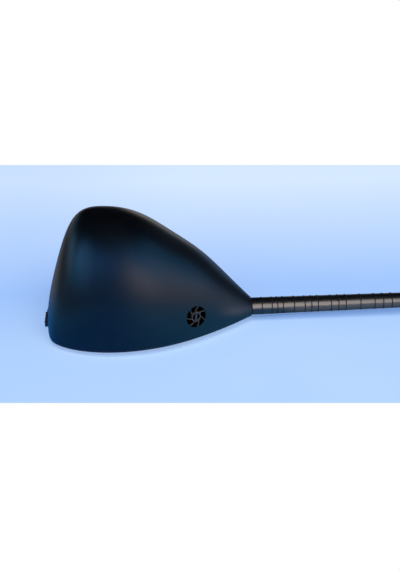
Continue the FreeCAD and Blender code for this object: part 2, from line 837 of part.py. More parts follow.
# Winding round a peg, a helix towards the wood in quarter turns, that takes up the arriving wire's direction
def winding_edges(place, heading, radius, wire, arriving):
    rise = -float(size("winding_pitch")) / math.tau
    stops = []
    for quarter in range(4 * winding_turns + 1):
        turned = quarter * math.pi / 2
        angle = heading - math.pi / 2 + turned
        level = float(size("winding_level")) + rise * turned
        spot = Vector(radius * math.cos(angle), radius * math.sin(angle), level)
        along = Vector(-radius * math.sin(angle), radius * math.cos(angle), rise).normalize()
        stops.append((place.multVec(spot), place.Rotation.multVec(along)))
    stops[0] = (stops[0][0], arriving)
    edges = []
    for (start, out), (end, into) in zip(stops, stops[1:]):
        edges += biarc(start, out, end, into)
    last, along = stops[-1]
    edges.append(Part.LineSegment(last, last + along * wire).toShape())
    return edges


# Least gap of a winding to itself, measured on points at least half a turn apart
def own_gap(edges, wire):
    steps_per_arc = 6
    points = [point for edge in edges for point in edge.discretize(steps_per_arc + 1)[1:]]
    half_turn = 4 * steps_per_arc
    least = min(first.distanceToPoint(second) for k, first in enumerate(points)
                for second in points[k + half_turn:])
    return least - wire


# Each string is one wire: from the drum at its end over bridge and nut, and round its peg
def make_strings(peg_places):
    for k, place in enumerate(peg_places):
        wire = float(wire_size(k))
        drum = float(size("drum_radius"))
        tail, bridge, nut = vector(*tail_point(k)), vector(*bridge_point(k)), vector(*nut_point(k))
        radius = float(size("peg_radius")) + wire / 2 + float(size("winding_gap"))
        heading, meeting = meeting_place(place.inverse().multVec(nut), radius)
        meeting = place.multVec(meeting)
        drum_centre = tail - Vector(drum, 0, 0)
        path = wire_path([drum_centre, bridge, nut, meeting], float(size("wire_bend")))
        turns = winding_edges(place, heading, radius, wire, (meeting - nut).normalize())
        print(f"string_{k + 1}: least gap of its winding to itself {own_gap(turns, wire):.2f} mm")
        string = tube(Part.Wire(path + turns), drum_centre, bridge - drum_centre, wire / 2)
        side = Vector(0, drum, 0)
        end = ring_face(drum_centre - side, side, drum, drum_sides).extrude(2 * side)
        add_feature(f"string_{k + 1}", string.fuse(end))


def pieces():
    return [item for item in doc.Objects if item.TypeId in ("PartDesign::Body", "Part::Feature")]


# Lays the instrument on its bridge and its lowest peg, centred over the origin
def rest_placement():
    crest = vector(bridge_x, 0, doc.getObject("bridge").Shape.BoundBox.ZMin)
    corners = [placements[peg.Label].multVec(corner.Point) for peg in pieces()
               if peg.Label.startswith("peg_front") for corner in peg.Shape.Vertexes]
    slope = min((corner.z - crest.z) / (corner.x - crest.x) for corner in corners)
    level = Placement(Vector(), Rotation(Vector(0, 1, 0), math.degrees(math.atan(slope))))
    box = FreeCAD.BoundBox()
    for piece in pieces():
        shape = piece.Shape.copy()
        shape.Placement = level * placements.get(piece.Label, Placement()) * shape.Placement
        box.add(shape.optimalBoundingBox(False))
    return Placement(Vector(-box.Center.x, -box.Center.y, -box.ZMin), Rotation()) * level


placements = {}
make_bowl()
make_inner_pieces()
make_boards()
make_string_holder()
make_bridge()
make_neck()
make_fingerboard()
make_nut()
make_head()
make_frets()
make_strings(make_pegs())
doc.recompute()

rest = rest_placement()
for piece in pieces():
    piece.Placement = rest * placements.get(piece.Label, Placement())
doc.recompute()

for item in doc.Objects:
    if "Invalid" in item.State or "Error" in item.State:
        raise ValueError(f"{item.Name} failed: {item.State}")
for piece in pieces():
    if piece.Shape.isNull() or not piece.Shape.isValid():
        raise ValueError(f"{piece.Label} has no valid shape")
    piece.Shape.exportStep(f"parts/{piece.Label}.step")
print(f"{len(pieces())} pieces, turned {rest.Rotation.Angle:.7f} and moved {rest.Base.x:.4f} {rest.Base.z:.4f}")
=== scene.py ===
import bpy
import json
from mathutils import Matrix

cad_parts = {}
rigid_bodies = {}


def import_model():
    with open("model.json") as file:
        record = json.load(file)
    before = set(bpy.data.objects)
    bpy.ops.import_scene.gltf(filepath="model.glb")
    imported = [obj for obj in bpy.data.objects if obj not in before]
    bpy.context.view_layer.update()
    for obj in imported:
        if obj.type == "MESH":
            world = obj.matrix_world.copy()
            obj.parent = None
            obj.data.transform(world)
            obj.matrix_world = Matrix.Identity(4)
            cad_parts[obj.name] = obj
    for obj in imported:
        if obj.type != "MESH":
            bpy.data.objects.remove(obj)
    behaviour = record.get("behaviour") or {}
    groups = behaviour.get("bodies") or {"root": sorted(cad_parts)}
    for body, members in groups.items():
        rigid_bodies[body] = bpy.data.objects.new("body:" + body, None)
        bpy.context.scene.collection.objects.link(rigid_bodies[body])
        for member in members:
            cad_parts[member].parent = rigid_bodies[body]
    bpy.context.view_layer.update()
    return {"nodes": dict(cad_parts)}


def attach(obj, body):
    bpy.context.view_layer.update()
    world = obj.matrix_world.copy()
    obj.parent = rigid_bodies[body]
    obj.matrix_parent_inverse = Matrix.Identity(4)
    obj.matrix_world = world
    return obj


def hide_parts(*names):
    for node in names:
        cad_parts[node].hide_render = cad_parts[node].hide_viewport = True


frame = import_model()

import json
from math import asin, atan2, copysign, cos, hypot, pi, radians, sin, sqrt, tau

import bmesh
import bpy
from mathutils import Matrix, Vector

# The instrument is drawn flat: X from the tail to the head, Z from the soundboard's face up into the bowl,
# bass side at -Y, metres. It lies on its bridge and first peg, so all of it is turned and moved by this.
lie = {"turn": -0.0188869, "moveX": -0.4762915, "moveZ": 0.0094107}
layDown = Matrix.Translation((lie["moveX"], 0, lie["moveZ"])) @ Matrix.Rotation(lie["turn"], 4, "Y")
inWorld = Matrix.Identity(4)
alongLine, acrossLine = ((layDown.to_3x3() @ Vector(axis)).normalized() for axis in ((1, 0, 0), (0, 1, 0)))
scene = bpy.context.scene
white, black = (1, 1, 1, 1), (0, 0, 0, 1)


# node and mesh helpers

def addNode(tree, kind, inputs=None, **fields):
    node = tree.nodes.new(kind)
    for field, value in fields.items():
        setattr(node, field, value)
    for key, value in (inputs or {}).items():
        if isinstance(value, bpy.types.NodeSocket):
            tree.links.new(value, node.inputs[key])
        else:
            node.inputs[key].default_value = value
    return node


def shade(tree, kind, inputs=None, **fields):  # a shader node's outputs
    return addNode(tree, "ShaderNode" + kind, inputs, **fields).outputs


def mathNode(tree, operation, *values):
    return shade(tree, "Math", dict(enumerate(values)), operation=operation)[0]


def times(tree, first, second):
    return mathNode(tree, "MULTIPLY", first, second)


def vectorNode(tree, operation, *values):  # its vector and its value
    return shade(tree, "VectorMath", dict(enumerate(values)), operation=operation)


def mixColors(tree, factor, first, second, blend="MIX"):
    return shade(tree, "Mix", {0: factor, 6: first, 7: second}, data_type="RGBA", blend_type=blend)[2]


def ramp(tree, value, low, high, start=0.0, end=1.0, shape="SMOOTHSTEP"):  # from start to end, held beyond
    return shade(tree, "MapRange", {0: value, 1: low, 2: high, 3: start, 4: end}, interpolation_type=shape)[0]


def noiseNode(tree, where, scale, detail, roughness=0.5):  # its value and its colour
    return shade(tree, "TexNoise", {"Vector": where, "Scale": scale, "Detail": detail, "Roughness": roughness})


def connect(tree, sockets, **sources):  # the sockets' names are written with _ for a space
    for label, source in sources.items():
        tree.links.new(source, sockets[label.replace("_", " ")])


def newGroup(name, takes, gives, kind="ShaderNodeTree"):  # labels of its sockets under their kinds
    group = bpy.data.node_groups.new(name, kind)
    for side, sockets in (("INPUT", takes), ("OUTPUT", gives)):
        for socketKind, labels in sockets.items():
            for label in labels:
                group.interface.new_socket(label, in_out=side, socket_type="NodeSocket" + socketKind)
    return group, group.nodes.new("NodeGroupInput").outputs, group.nodes.new("NodeGroupOutput").inputs


def between(start, end, share):
    return start + (end - start) * share


def towards(azimuth, elevation):  # degrees, from the bass side round to the head and up
    azimuth, elevation = radians(azimuth), radians(elevation)
    return Vector((sin(azimuth) * cos(elevation), -cos(azimuth) * cos(elevation),
                   sin(elevation)))


def circle(radius, sides, centre=(0, 0)):
    return [(centre[0] + radius * cos(tau * k / sides), centre[1] + radius * sin(tau * k / sides))
            for k in range(sides)]


def ringAt(middle, across, other, radius, sides):
    return [middle + across * a + other * b for a, b in circle(radius, sides)]


def smoothMesh(mesh, sharpDegrees=35):
    mesh.shade_smooth()
    mesh.set_sharp_from_angle(angle=radians(sharpDegrees))


def cleanMesh(mesh, merge=None, flat=False):  # faces outwards; close points merged and flat faces joined if asked
    solid = bmesh.new()
    solid.from_mesh(mesh)
    if merge:
        bmesh.ops.remove_doubles(solid, verts=solid.verts, dist=merge)
    if flat:
        bmesh.ops.dissolve_limit(solid, angle_limit=radians(1), verts=solid.verts, edges=solid.edges)
    bmesh.ops.recalc_face_normals(solid, faces=solid.faces)
    solid.to_mesh(mesh)
    solid.free()


def meshFrom(name, points, faces, material, matrix=layDown):
    mesh = bpy.data.meshes.new(name)
    mesh.from_pydata([matrix @ Vector(p) for p in points], [], faces)
    mesh.materials.append(material)
    cleanMesh(mesh, 1e-7)
    return mesh


def ringFaces(rings, first=0):  # skin over closed rings of equal length, with both ends closed
    count = len(rings[0])
    faces = []
    for k in range(len(rings) - 1):
        for j in range(count):
            a, b = first + k * count + j, first + k * count + (j + 1) % count
            faces.append((a, b, b + count, a + count))
    last = first + (len(rings) - 1) * count
    faces.append(tuple(range(first, first + count)))
    faces.append(tuple(range(last, last + count)))
    return faces


def skinMesh(name, rings, material, matrix=layDown):
    return meshFrom(name, [p for ring in rings for p in ring], ringFaces(rings), material, matrix)


def prismsMesh(name, outlines, low, high, material, matrix):  # straight pieces over outlines in a plane
    points, faces = [], []
    for outline in outlines:
        rings = [[(x, y, z) for x, y in outline] for z in (low, high)]
        faces += ringFaces(rings, len(points))
        points += rings[0] + rings[1]
    return meshFrom(name, points, faces, material, matrix)


def finished(piece):  # the piece's mesh with its modifiers applied
    bpy.context.view_layer.update()
    graph = bpy.context.evaluated_depsgraph_get()
    mesh = bpy.data.meshes.new_from_object(piece.evaluated_get(graph), preserve_all_data_layers=True, depsgraph=graph)
    piece.modifiers.clear()
    return mesh


def place(name, data):
    piece = bpy.data.objects.new(name, data)
    scene.collection.objects.link(piece)
    return piece


def carve(piece, cutterMesh, operation="DIFFERENCE"):  # the cut walls keep the cutter's material
    cutter = place("cutter", cutterMesh)
    cut = piece.modifiers.new("cut", "BOOLEAN")
    cut.operation, cut.solver, cut.object, cut.material_mode = operation, "EXACT", cutter, "TRANSFER"
    piece.data = finished(piece)
    bpy.data.objects.remove(cutter)


def soften(piece, width, segments, fromDegrees, sharpDegrees):
    bevel = piece.modifiers.new("soften", "BEVEL")
    bevel.width, bevel.segments, bevel.limit_method = width, segments, "ANGLE"
    bevel.angle_limit = radians(fromDegrees)
    piece.data = finished(piece)
    smoothMesh(piece.data, sharpDegrees)


def seat(piece, body, standsFor):
    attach(piece, body)
    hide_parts(standsFor)


# shared effects

film = {"patchScale": 14.0, "patchRise": 2.0, "haze": (0.35, 0.75), "skinScale": 900.0,
        "scuffStretch": (60.0, 700.0, 700.0), "scuffs": (0.62, 0.74), "scuffDull": 0.05}
fibre = {"stretch": (0.05, 1.0, 1.0), "driftScale": 22.0, "drift": (0.008, 0.008, 0.008), "distortion": 1.5,
         "ringShare": 0.6, "share": 0.45, "dull": 0.2}
worn = {"detail": 5.0, "roughness": 0.65, "limits": (0.5, 0.68), "brighter": 1.5}


def makeFilm():  # a sprayed film: rolling thickness, fine skin and handling marks
    group, take, give = newGroup("sprayedFilm", {"Vector": ["Position"], "Float": ["Gloss", "Patch"]},
                                 {"Float": ["Roughness", "Height", "Haze"]})
    where = take["Position"]
    patches = noiseNode(group, where, film["patchScale"], 3.0)[0]
    skin = noiseNode(group, where, film["skinScale"], 2.0)[0]
    stretched = vectorNode(group, "MULTIPLY", where, film["scuffStretch"])[0]
    scuffs = ramp(group, noiseNode(group, stretched, 1.0, 4.0)[0], *film["scuffs"])
    spread = mathNode(group, "MULTIPLY_ADD", patches, take["Patch"], take["Gloss"])
    connect(group, give, Roughness=mathNode(group, "MULTIPLY_ADD", scuffs, film["scuffDull"], spread),
            Height=mathNode(group, "MULTIPLY_ADD", patches, film["patchRise"], skin),
            Haze=ramp(group, patches, *film["haze"]))
    return group


def makeGrain():  # straight-grained wood with growth rings, fibres and pores
    group, take, give = newGroup(
        "woodGrain", {"Vector": ["Position"], "Color": ["Pale", "Dark"], "Float": ["Rings", "Fibres", "Gloss"]},
        {"Color": ["Color"], "Float": ["Roughness", "Height"]})
    along = vectorNode(group, "MULTIPLY", take["Position"], fibre["stretch"])[0]
    drift = noiseNode(group, along, fibre["driftScale"], 2.0)[1]
    wandering = vectorNode(group, "MULTIPLY_ADD", drift, fibre["drift"], along)[0]
    rings = shade(group, "TexWave", {"Vector": wandering, "Scale": take["Rings"], "Distortion": fibre["distortion"],
                                     "Detail": 2.0, "Detail Scale": fibre["distortion"]},
                  bands_direction="Y", wave_profile="SAW")[1]
    fibres = noiseNode(group, along, take["Fibres"], 3.0)[0]
    mixed = mathNode(group, "MULTIPLY_ADD", fibres, fibre["share"],
                     times(group, rings, fibre["ringShare"]))
    connect(group, give, Color=mixColors(group, mixed, take["Pale"], take["Dark"]),
            Roughness=mathNode(group, "MULTIPLY_ADD", fibres, fibre["dull"], take["Gloss"]), Height=mixed)
    return group


def makeRub():  # where hands and edges have rubbed a finish
    group, take, give = newGroup("handRub", {"Vector": ["Position"], "Float": ["Scale", "Amount"]},
                                 {"Float": ["Mask"]})
    rubbed = noiseNode(group, take["Position"], take["Scale"], worn["detail"], worn["roughness"])[0]
    connect(group, give, Mask=times(group, ramp(group, rubbed, *worn["limits"]), take["Amount"]))
    return group


sprayedFilm, woodGrain, handRub = makeFilm(), makeGrain(), makeRub()


def newFinish(name, bumpDistance, **shaderValues):  # its sockets take a colour, a roughness and the bump's height
    material = bpy.data.materials.new(name)
    material.use_nodes = True
    tree = material.node_tree
    shader = tree.nodes["Principled BSDF"].inputs
    for label, value in shaderValues.items():
        shader[label.replace("_", " ")].default_value = value
    bump = addNode(tree, "ShaderNodeBump", {"Strength": 1.0, "Distance": bumpDistance})
    tree.links.new(bump.outputs[0], shader["Normal"])
    sockets = {"Base Color": shader["Base Color"], "Roughness": shader["Roughness"], "Height": bump.inputs["Height"]}
    return material, tree, sockets, shade(tree, "TexCoord")["Object"]


def useGroup(tree, group, **values):
    return shade(tree, "Group", values, node_tree=group)


def lacquerFinish(name, dark, hazed, gloss, patch, bumpDistance, specular):
    material, tree, sockets, where = newFinish(name, bumpDistance, Specular_IOR_Level=specular)
    coat = useGroup(tree, sprayedFilm, Position=where, Gloss=gloss, Patch=patch)
    rub = useGroup(tree, handRub, Position=where, Scale=45.0, Amount=0.6)
    color = mixColors(tree, coat["Haze"], dark, hazed)
    rubbed = tuple(worn["brighter"] * c for c in hazed[:3]) + (1,)
    connect(tree, sockets, Base_Color=mixColors(tree, rub["Mask"], color, rubbed), Roughness=coat["Roughness"],
            Height=coat["Height"])
    return material, where


def woodFinish(name, pale, dark, rings, fibres, gloss, bumpDistance, turn=0.0, coat=0.0, coatRoughness=0.03):
    material, tree, sockets, where = newFinish(name, bumpDistance, Coat_Weight=coat, Coat_Roughness=coatRoughness)
    turned = shade(tree, "Mapping", {"Vector": where, "Rotation": (0, 0, turn)})[0]
    wood = useGroup(tree, woodGrain, Position=turned, Pale=pale, Dark=dark, Rings=rings, Fibres=fibres, Gloss=gloss)
    rub = useGroup(tree, handRub, Position=where, Scale=70.0, Amount=0.25)
    connect(tree, sockets, Base_Color=mixColors(tree, rub["Mask"], wood["Color"], dark), Roughness=wood["Roughness"],
            Height=wood["Height"])
    return material


# finishes

bowl = {  # a pole of the line that carries the ribs has x, half width and depth
    "knots": [0.04] * 4 + [0.12, 0.25, 0.40, 0.55, 0.70, 0.80, 0.88, 0.945] + [1.0] * 4,
    "poles": [(0.000628, 0.020000, 0.020000), (0.001464, 0.037869, 0.028029), (0.005857, 0.073013, 0.055930),
              (0.023271, 0.093201, 0.118234), (0.059811, 0.113272, 0.228834), (0.115699, 0.125486, 0.232080),
              (0.181066, 0.123085, 0.221740), (0.245779, 0.105657, 0.170158), (0.299589, 0.080017, 0.132377),
              (0.347306, 0.051961, 0.077107), (0.377819, 0.030497, 0.043322), (0.392200, 0.019600, 0.028300)],
    "length": 0.3922, "wall": 0.004, "board": 0.003, "stations": 132, "ribPoints": 112,
    "trim": 0.99985,  # keeps the finer skin inside the solid's size
    "mortise": {"length": 0.040, "half": 0.0083, "beyond": 0.01, "low": 0.0057, "high": 0.0186},
}
# the rosette's wood colour paints the spokes paler: partly bare wood, partly a painted sheen on the cut edges
rosette = {"place": 0.7136, "heightAngle": 17.8, "radius": 0.022, "spoke": 0.0014, "rim": 0.93, "hub": 0.44,
           "petals": 7, "turn": 0.4285, "swirl": 0.42, "lensTip": 0.88, "lensStem": 0.15, "lensBelly": 0.9,
           "lensWaist": 1.2, "lensRim": 0.0008, "cutDepth": 0.010, "wood": (0.034, 0.024, 0.017, 1),
           "paleFrom": 0.97, "fleckScale": 700.0, "flecks": (0.25, 0.55, 0.45, 1.0)}

# dark and hazed colour, gloss and its patches, depth of the film's ripple, specular level
lacquers = {
    "bowlLacquer": ((0.0006, 0.0007, 0.0010, 1), (0.0014, 0.0015, 0.0018, 1), 0.30, 0.06, 0.00003, 0.55),
    "neckLacquer": ((0.0006, 0.0010, 0.0017, 1), (0.0014, 0.0019, 0.0030, 1), 0.30, 0.06, 0.000007, 0.7),
    # the joint's dull black is painted shade of the crevice where the neck meets the bowl
    "jointShadeBlack": ((0.0004, 0.0004, 0.0005, 1), (0.0012, 0.0011, 0.0011, 1), 0.62, 0.10, 0.00003, 0.12),
    "edgeLacquer": ((0.0040, 0.0040, 0.0050, 1), (0.0090, 0.0090, 0.0100, 1), 0.38, 0.08, 0.00002, 0.5),
}
# pale and dark colour, rings and fibres per metre, gloss, depth of the grain; its turn, and the coat of varnish
woods = {
    # the inside wood is painted dark: the shade inside the closed box, partly a dark stain
    "insideWoodInShade": ((0.030, 0.017, 0.009, 1), (0.010, 0.005, 0.003, 1), 90.0, 900.0, 0.70, 0.00012),
    "blockWood": ((0.62, 0.43, 0.24, 1), (0.42, 0.26, 0.13, 1), 160.0, 1200.0, 0.62, 0.0001),
    "spruceBoard": ((0.74, 0.53, 0.29, 1), (0.50, 0.29, 0.12, 1), 330.0, 1600.0, 0.34, 0.00005, 0.0, 0.35, 0.22),
    "mapleWood": ((0.60, 0.40, 0.21, 1), (0.36, 0.20, 0.09, 1), 420.0, 1800.0, 0.45, 0.00006, pi / 2),
    "ebonyWood": ((0.016, 0.012, 0.010, 1), (0.005, 0.004, 0.004, 1), 500.0, 2200.0, 0.38, 0.00005),
    "pegWood": ((0.040, 0.024, 0.017, 1), (0.010, 0.006, 0.005, 1), 450.0, 2000.0, 0.30, 0.00005, 0.0, 0.5, 0.18),
}
neckLacquer, jointShadeBlack, edgeLacquer = (lacquerFinish(name, *lacquers[name])[0]
                                        for name in ("neckLacquer", "jointShadeBlack", "edgeLacquer"))
insideWoodInShade, blockWood, spruceBoard, mapleWood, ebonyWood, pegWood = (woodFinish(name, *values)
                                                                     for name, values in woods.items())
# painted shade: the board's colour is multiplied darker where its face looks up into the box
boardInsideShade = {"limits": (0.3, 0.7), "shadeTint": (0.03, 0.025, 0.02, 1)}


def recolor(material, mask, color, blend="MIX"):  # a second colour where the mask says
    base = material.node_tree.nodes["Principled BSDF"].inputs["Base Color"]
    mixed = mixColors(material.node_tree, mask, base.links[0].from_socket, color, blend)
    material.node_tree.links.new(mixed, base)


def shadeBoardInside():  # the board's inner face is painted as dark as the rest of the box: painted shade of the closed box, partly darkening by age
    tree = spruceBoard.node_tree
    facing = shade(tree, "SeparateXYZ", {0: shade(tree, "NewGeometry")["True Normal"]})[2]
    recolor(spruceBoard, ramp(tree, facing, *boardInsideShade["limits"]), boardInsideShade["shadeTint"], "MULTIPLY")


shadeBoardInside()


def makeBowlLacquer(centre):  # the spokes left round the carved openings are painted paler: bare wood where the film is thin, and a painted sheen on the cut edges
    material, where = lacquerFinish("bowlLacquer", *lacquers["bowlLacquer"])
    tree, rim = material.node_tree, rosette["radius"] * rosette["rim"]
    away = vectorNode(tree, "DISTANCE", where, centre)["Value"]
    flecks = ramp(tree, noiseNode(tree, where, rosette["fleckScale"], 3.0)[0], *rosette["flecks"])
    # painted sheen: inside the rosette's rim the spokes and hub take the paler wood colour, with flecks
    paleSpokesSheen = times(tree, ramp(tree, away, rim * rosette["paleFrom"], rim, 1.0, 0.0), flecks)
    recolor(material, paleSpokesSheen, rosette["wood"])
    return material


# colours, scales of the noise, and the limits of the ramps from it
ivory = {"pale": (0.80, 0.73, 0.56, 1), "warm": (0.66, 0.56, 0.38, 1), "pore": (0.42, 0.33, 0.2, 1),
         "poreScale": 1400.0, "pores": (0.62, 0.72), "cloudScale": 160.0, "clouds": (0.3, 0.7),
         "gloss": (0.2, 0.8, 0.26, 0.42), "bump": 0.00003, "glow": 0.08, "glowDepth": 0.001}
nylon = {"dark": (0.0028, 0.0022, 0.0022, 1), "red": (0.008, 0.005, 0.005, 1), "rubbed": (0.016, 0.010, 0.009, 1),
         "twistScale": 900.0, "rubScale": 120.0, "gloss": (0.2, 0.8, 0.42, 0.62), "bump": 0.00004, "specular": 0.25}
tarnish = {"scale": 240.0, "limits": (0.35, 0.7), "between": 0.3, "gloss": (0.3, 0.75, 0.2, 0.42),
           "distortion": 0.4}
# pale and dark colour, windings per metre and their depth
wires = {"plainWire": ((0.72, 0.72, 0.74, 1), (0.48, 0.47, 0.46, 1), 900.0, 0.000004),
         "woundWire": ((0.74, 0.66, 0.52, 1), (0.46, 0.37, 0.26, 1), 1100.0, 0.00003)}


def makeBone():
    material, tree, sockets, where = newFinish("bone", ivory["bump"], Subsurface_Weight=ivory["glow"],
                                               Subsurface_Scale=ivory["glowDepth"])
    pores = noiseNode(tree, where, ivory["poreScale"], 4.0)[0]
    cloud = noiseNode(tree, where, ivory["cloudScale"], 3.0)[0]
    color = mixColors(tree, ramp(tree, cloud, *ivory["clouds"]), ivory["pale"], ivory["warm"])
    connect(tree, sockets, Base_Color=mixColors(tree, ramp(tree, pores, *ivory["pores"]), color, ivory["pore"]),
            Roughness=ramp(tree, cloud, *ivory["gloss"]), Height=pores)
    return material


def makeNylon():  # dark red-black line, glossy where new and dull where fingered
    material, tree, sockets, where = newFinish("fretLine", nylon["bump"], Specular_IOR_Level=nylon["specular"])
    twist = noiseNode(tree, where, nylon["twistScale"], 3.0)[0]
    rub = useGroup(tree, handRub, Position=where, Scale=nylon["rubScale"], Amount=1.0)
    color = mixColors(tree, twist, nylon["dark"], nylon["red"])
    connect(tree, sockets, Base_Color=mixColors(tree, rub["Mask"], color, nylon["rubbed"]),
            Roughness=ramp(tree, twist, *nylon["gloss"]), Height=twist)
    return material


def makeWire(name, pale, dark, windingScale, bumpDistance):
    material, tree, sockets, where = newFinish(name, bumpDistance, Metallic=1.0)
    wraps = shade(tree, "TexWave", {"Vector": where, "Scale": windingScale, "Distortion": tarnish["distortion"]},
                  bands_direction="X")[1]
    stains = noiseNode(tree, where, tarnish["scale"], 4.0)[0]
    color = mixColors(tree, ramp(tree, stains, *tarnish["limits"]), pale, dark)
    shaded = times(tree, wraps, tarnish["between"])
    connect(tree, sockets, Base_Color=mixColors(tree, shaded, color, dark),
            Roughness=ramp(tree, stains, *tarnish["gloss"]), Height=wraps)
    return material


bone, fretLine = makeBone(), makeNylon()
plainWire, woundWire = (makeWire(name, *values) for name, values in wires.items())
print("finishes made")

# bowl

def bowlLine(t):  # de Boor's rule
    knots, poles = bowl["knots"], [Vector(p) for p in bowl["poles"]]
    t = min(max(t, knots[3]), knots[-4])
    k = max(j for j in range(3, len(poles)) if knots[j] <= t)
    d = poles[k - 3:k + 1]
    for r in (1, 2, 3):
        for j in range(3, r - 1, -1):
            low, high = knots[j + k - 3], knots[j + 1 + k - r]
            share = (t - low) / (high - low)
            d[j] = d[j - 1] * (1 - share) + d[j] * share
    return d[3]


def bowlSlope(t, step=1e-4):
    low, high = max(t - step, bowl["knots"][0]), min(t + step, bowl["knots"][-1])
    return (bowlLine(high) - bowlLine(low)) / (high - low)


def insetLine(t, inset):
    point, slope = bowlLine(t), bowlSlope(t)
    plan, side = hypot(slope.x, slope.y), hypot(slope.x, slope.z)
    shift = inset * (slope.y / plan + slope.z / side) / 2
    return point + Vector((shift, -inset * slope.x / plan, -inset * slope.x / side))


def ribRing(point, level):  # half ellipse from one edge to the other, at and above a level
    start, count = asin(min(0.99, level / point.z)), bowl["ribPoints"]
    angles = [start + (pi - 2 * start) * k / count for k in range(count + 1)]
    return [(point.x, point.y * cos(angle), point.z * bowl["trim"] * sin(angle)) for angle in angles]


def bowlStations():
    first, last = bowl["knots"][0], bowl["knots"][-1]
    return [first + (last - first) * k / bowl["stations"] for k in range(bowl["stations"] + 1)]


def rosetteFrame():
    angle, t = radians(rosette["heightAngle"]), sqrt(rosette["place"])
    point, slope = bowlLine(t), bowlSlope(t)
    centre = Vector((point.x, -point.y * cos(angle), point.z * sin(angle)))
    along = Vector((slope.x, -slope.y * cos(angle), slope.z * sin(angle)))
    upward = Vector((0, point.y * sin(angle), point.z * cos(angle)))
    normal = along.cross(upward).normalized()
    if normal.y > 0:
        normal = -normal
    along = (along - normal * along.dot(normal)).normalized()
    turned = Matrix((along, normal.cross(along), normal)).transposed().to_4x4()
    return Matrix.Translation(centre) @ turned, centre


def arcPoints(places, steps=10):  # curve through three places given by radius and angle
    points = []
    for k in range(steps + 1):
        s = k / steps
        weights = (2 * (s - 0.5) * (s - 1), 4 * s * (1 - s), 2 * s * (s - 0.5))
        radius, angle = (sum(weight * place[i] for weight, place in zip(weights, places)) for i in (0, 1))
        points.append((radius * cos(angle), radius * sin(angle)))
    return points


def petalOutline(middle, inner, outer):
    pitch = tau / rosette["petals"]
    swirl, radii = rosette["swirl"] * pitch, (inner, (inner + outer) / 2, outer)
    left, right = ([(radius, middle - swirl * k / 2 + hand * (pitch - rosette["spoke"] / radius) / 2)
                    for k, radius in enumerate(radii)] for hand in (1, -1))
    top = [left[2], (outer, (left[2][1] + right[2][1]) / 2), right[2]]
    foot = [right[0], (inner, (left[0][1] + right[0][1]) / 2), left[0]]
    return arcPoints(left) + arcPoints(top)[1:] + arcPoints(right[::-1])[1:] + arcPoints(foot)[1:-1]


def lensOutline(hand, radius, steps=14):
    tip, stem = radius * rosette["lensTip"], radius * rosette["lensStem"]
    shares = [2 * k / steps - 1 for k in range(steps + 1)]
    outer, inner = ([(hand * (stem + (far - stem) * (1 - s * s)), s * tip) for s in shares]
                    for far in (radius * rosette["lensBelly"], stem * rosette["lensWaist"]))
    return outer + inner[-2:0:-1]


def blockPlan(near, far, half):
    return [(near, -half), (far, -half), (far, half), (near, half)]


def makeBowl():
    frameMatrix, centre = rosetteFrame()
    lacquer = makeBowlLacquer(layDown @ centre)
    outer = [ribRing(bowlLine(t), bowl["board"]) for t in bowlStations()]
    piece = place("bowl_shell", skinMesh("bowl_shell", outer, lacquer))
    inner = [ribRing(insetLine(t, bowl["wall"]), 0.0) for t in bowlStations()[::2]]
    carve(piece, skinMesh("hollow", inner, insideWoodInShade))
    mortise = bowl["mortise"]
    plan = blockPlan(bowl["length"] - mortise["length"], bowl["length"] + mortise["beyond"], mortise["half"])
    carve(piece, prismsMesh("mortise", [plan], mortise["low"], mortise["high"], insideWoodInShade, layDown))
    pitch, reach = tau / rosette["petals"], rosette["cutDepth"]
    hub, rim = rosette["radius"] * rosette["hub"], rosette["radius"] * rosette["rim"]
    outlines = [petalOutline(k * pitch + rosette["turn"], hub, rim) for k in range(rosette["petals"])]
    outlines += [lensOutline(hand, hub - rosette["lensRim"]) for hand in (1, -1)]
    carve(piece, prismsMesh("petals", outlines, -reach, reach, lacquer, layDown @ frameMatrix))
    smoothMesh(piece.data)
    seat(piece, "instrument", "bowl")


makeBowl()
print("bowl made")

# neck

neck = {"start": 0.3922, "end": 0.783975, "lean": radians(9), "startWidth": 0.0346, "startDepth": 0.0260,
        "endWidth": 0.0288, "endDepth": 0.0216, "front": 0.003, "stations": 40, "backPoints": 40,
        "tenonLength": 0.040, "tenonRoot": 0.004, "tenonHalf": 0.008, "tenonLow": 0.006, "tenonHigh": 0.018,
        "joint": 0.0022, "slack": 0.0001}


def arch(half, spring, count):  # the round back, above the height where it springs from
    return [(half * cos(pi * k / count), spring + half * sin(pi * k / count)) for k in range(count + 1)]


def neckRing(end, front):  # across, and up from the string side
    half = neck[end + "Width"] / 2
    return [(-half, front), (half, front)] + arch(half, neck[end + "Depth"] - half, neck["backPoints"])


def makeNeck():
    lean, length = neck["lean"], neck["end"] - neck["start"]
    starts = [Vector((neck["start"], y, z)) for y, z in neckRing("start", neck["front"])]
    ends = [Vector((neck["end"] - z * sin(lean), y, z * cos(lean)))
            for y, z in neckRing("end", neck["front"] / cos(lean))]
    shares = [0.0, neck["joint"] / length] + [k / neck["stations"] for k in range(1, neck["stations"] + 1)]
    rings = [[a.lerp(b, share) for a, b in zip(starts, ends)] for share in shares]
    piece = place("neck_shaft", skinMesh("neck_shaft", rings, neckLacquer))
    plan = blockPlan(neck["start"] - neck["tenonLength"], neck["start"] + neck["tenonRoot"], neck["tenonHalf"])
    carve(piece, prismsMesh("tenon", [plan], neck["tenonLow"], neck["tenonHigh"], blockWood, layDown), "UNION")
    piece.data.materials.append(jointShadeBlack)  # a dull black ring where the neck meets the bowl, painted shade of the crevice between them
    flat = layDown.inverted()
    for face in piece.data.polygons:
        if neck["start"] - neck["slack"] < (flat @ face.center).x < neck["start"] + neck["joint"]:
            face.material_index = len(piece.data.materials) - 1
    smoothMesh(piece.data)
    seat(piece, "instrument", "neck")


makeNeck()
print("neck made")

# head

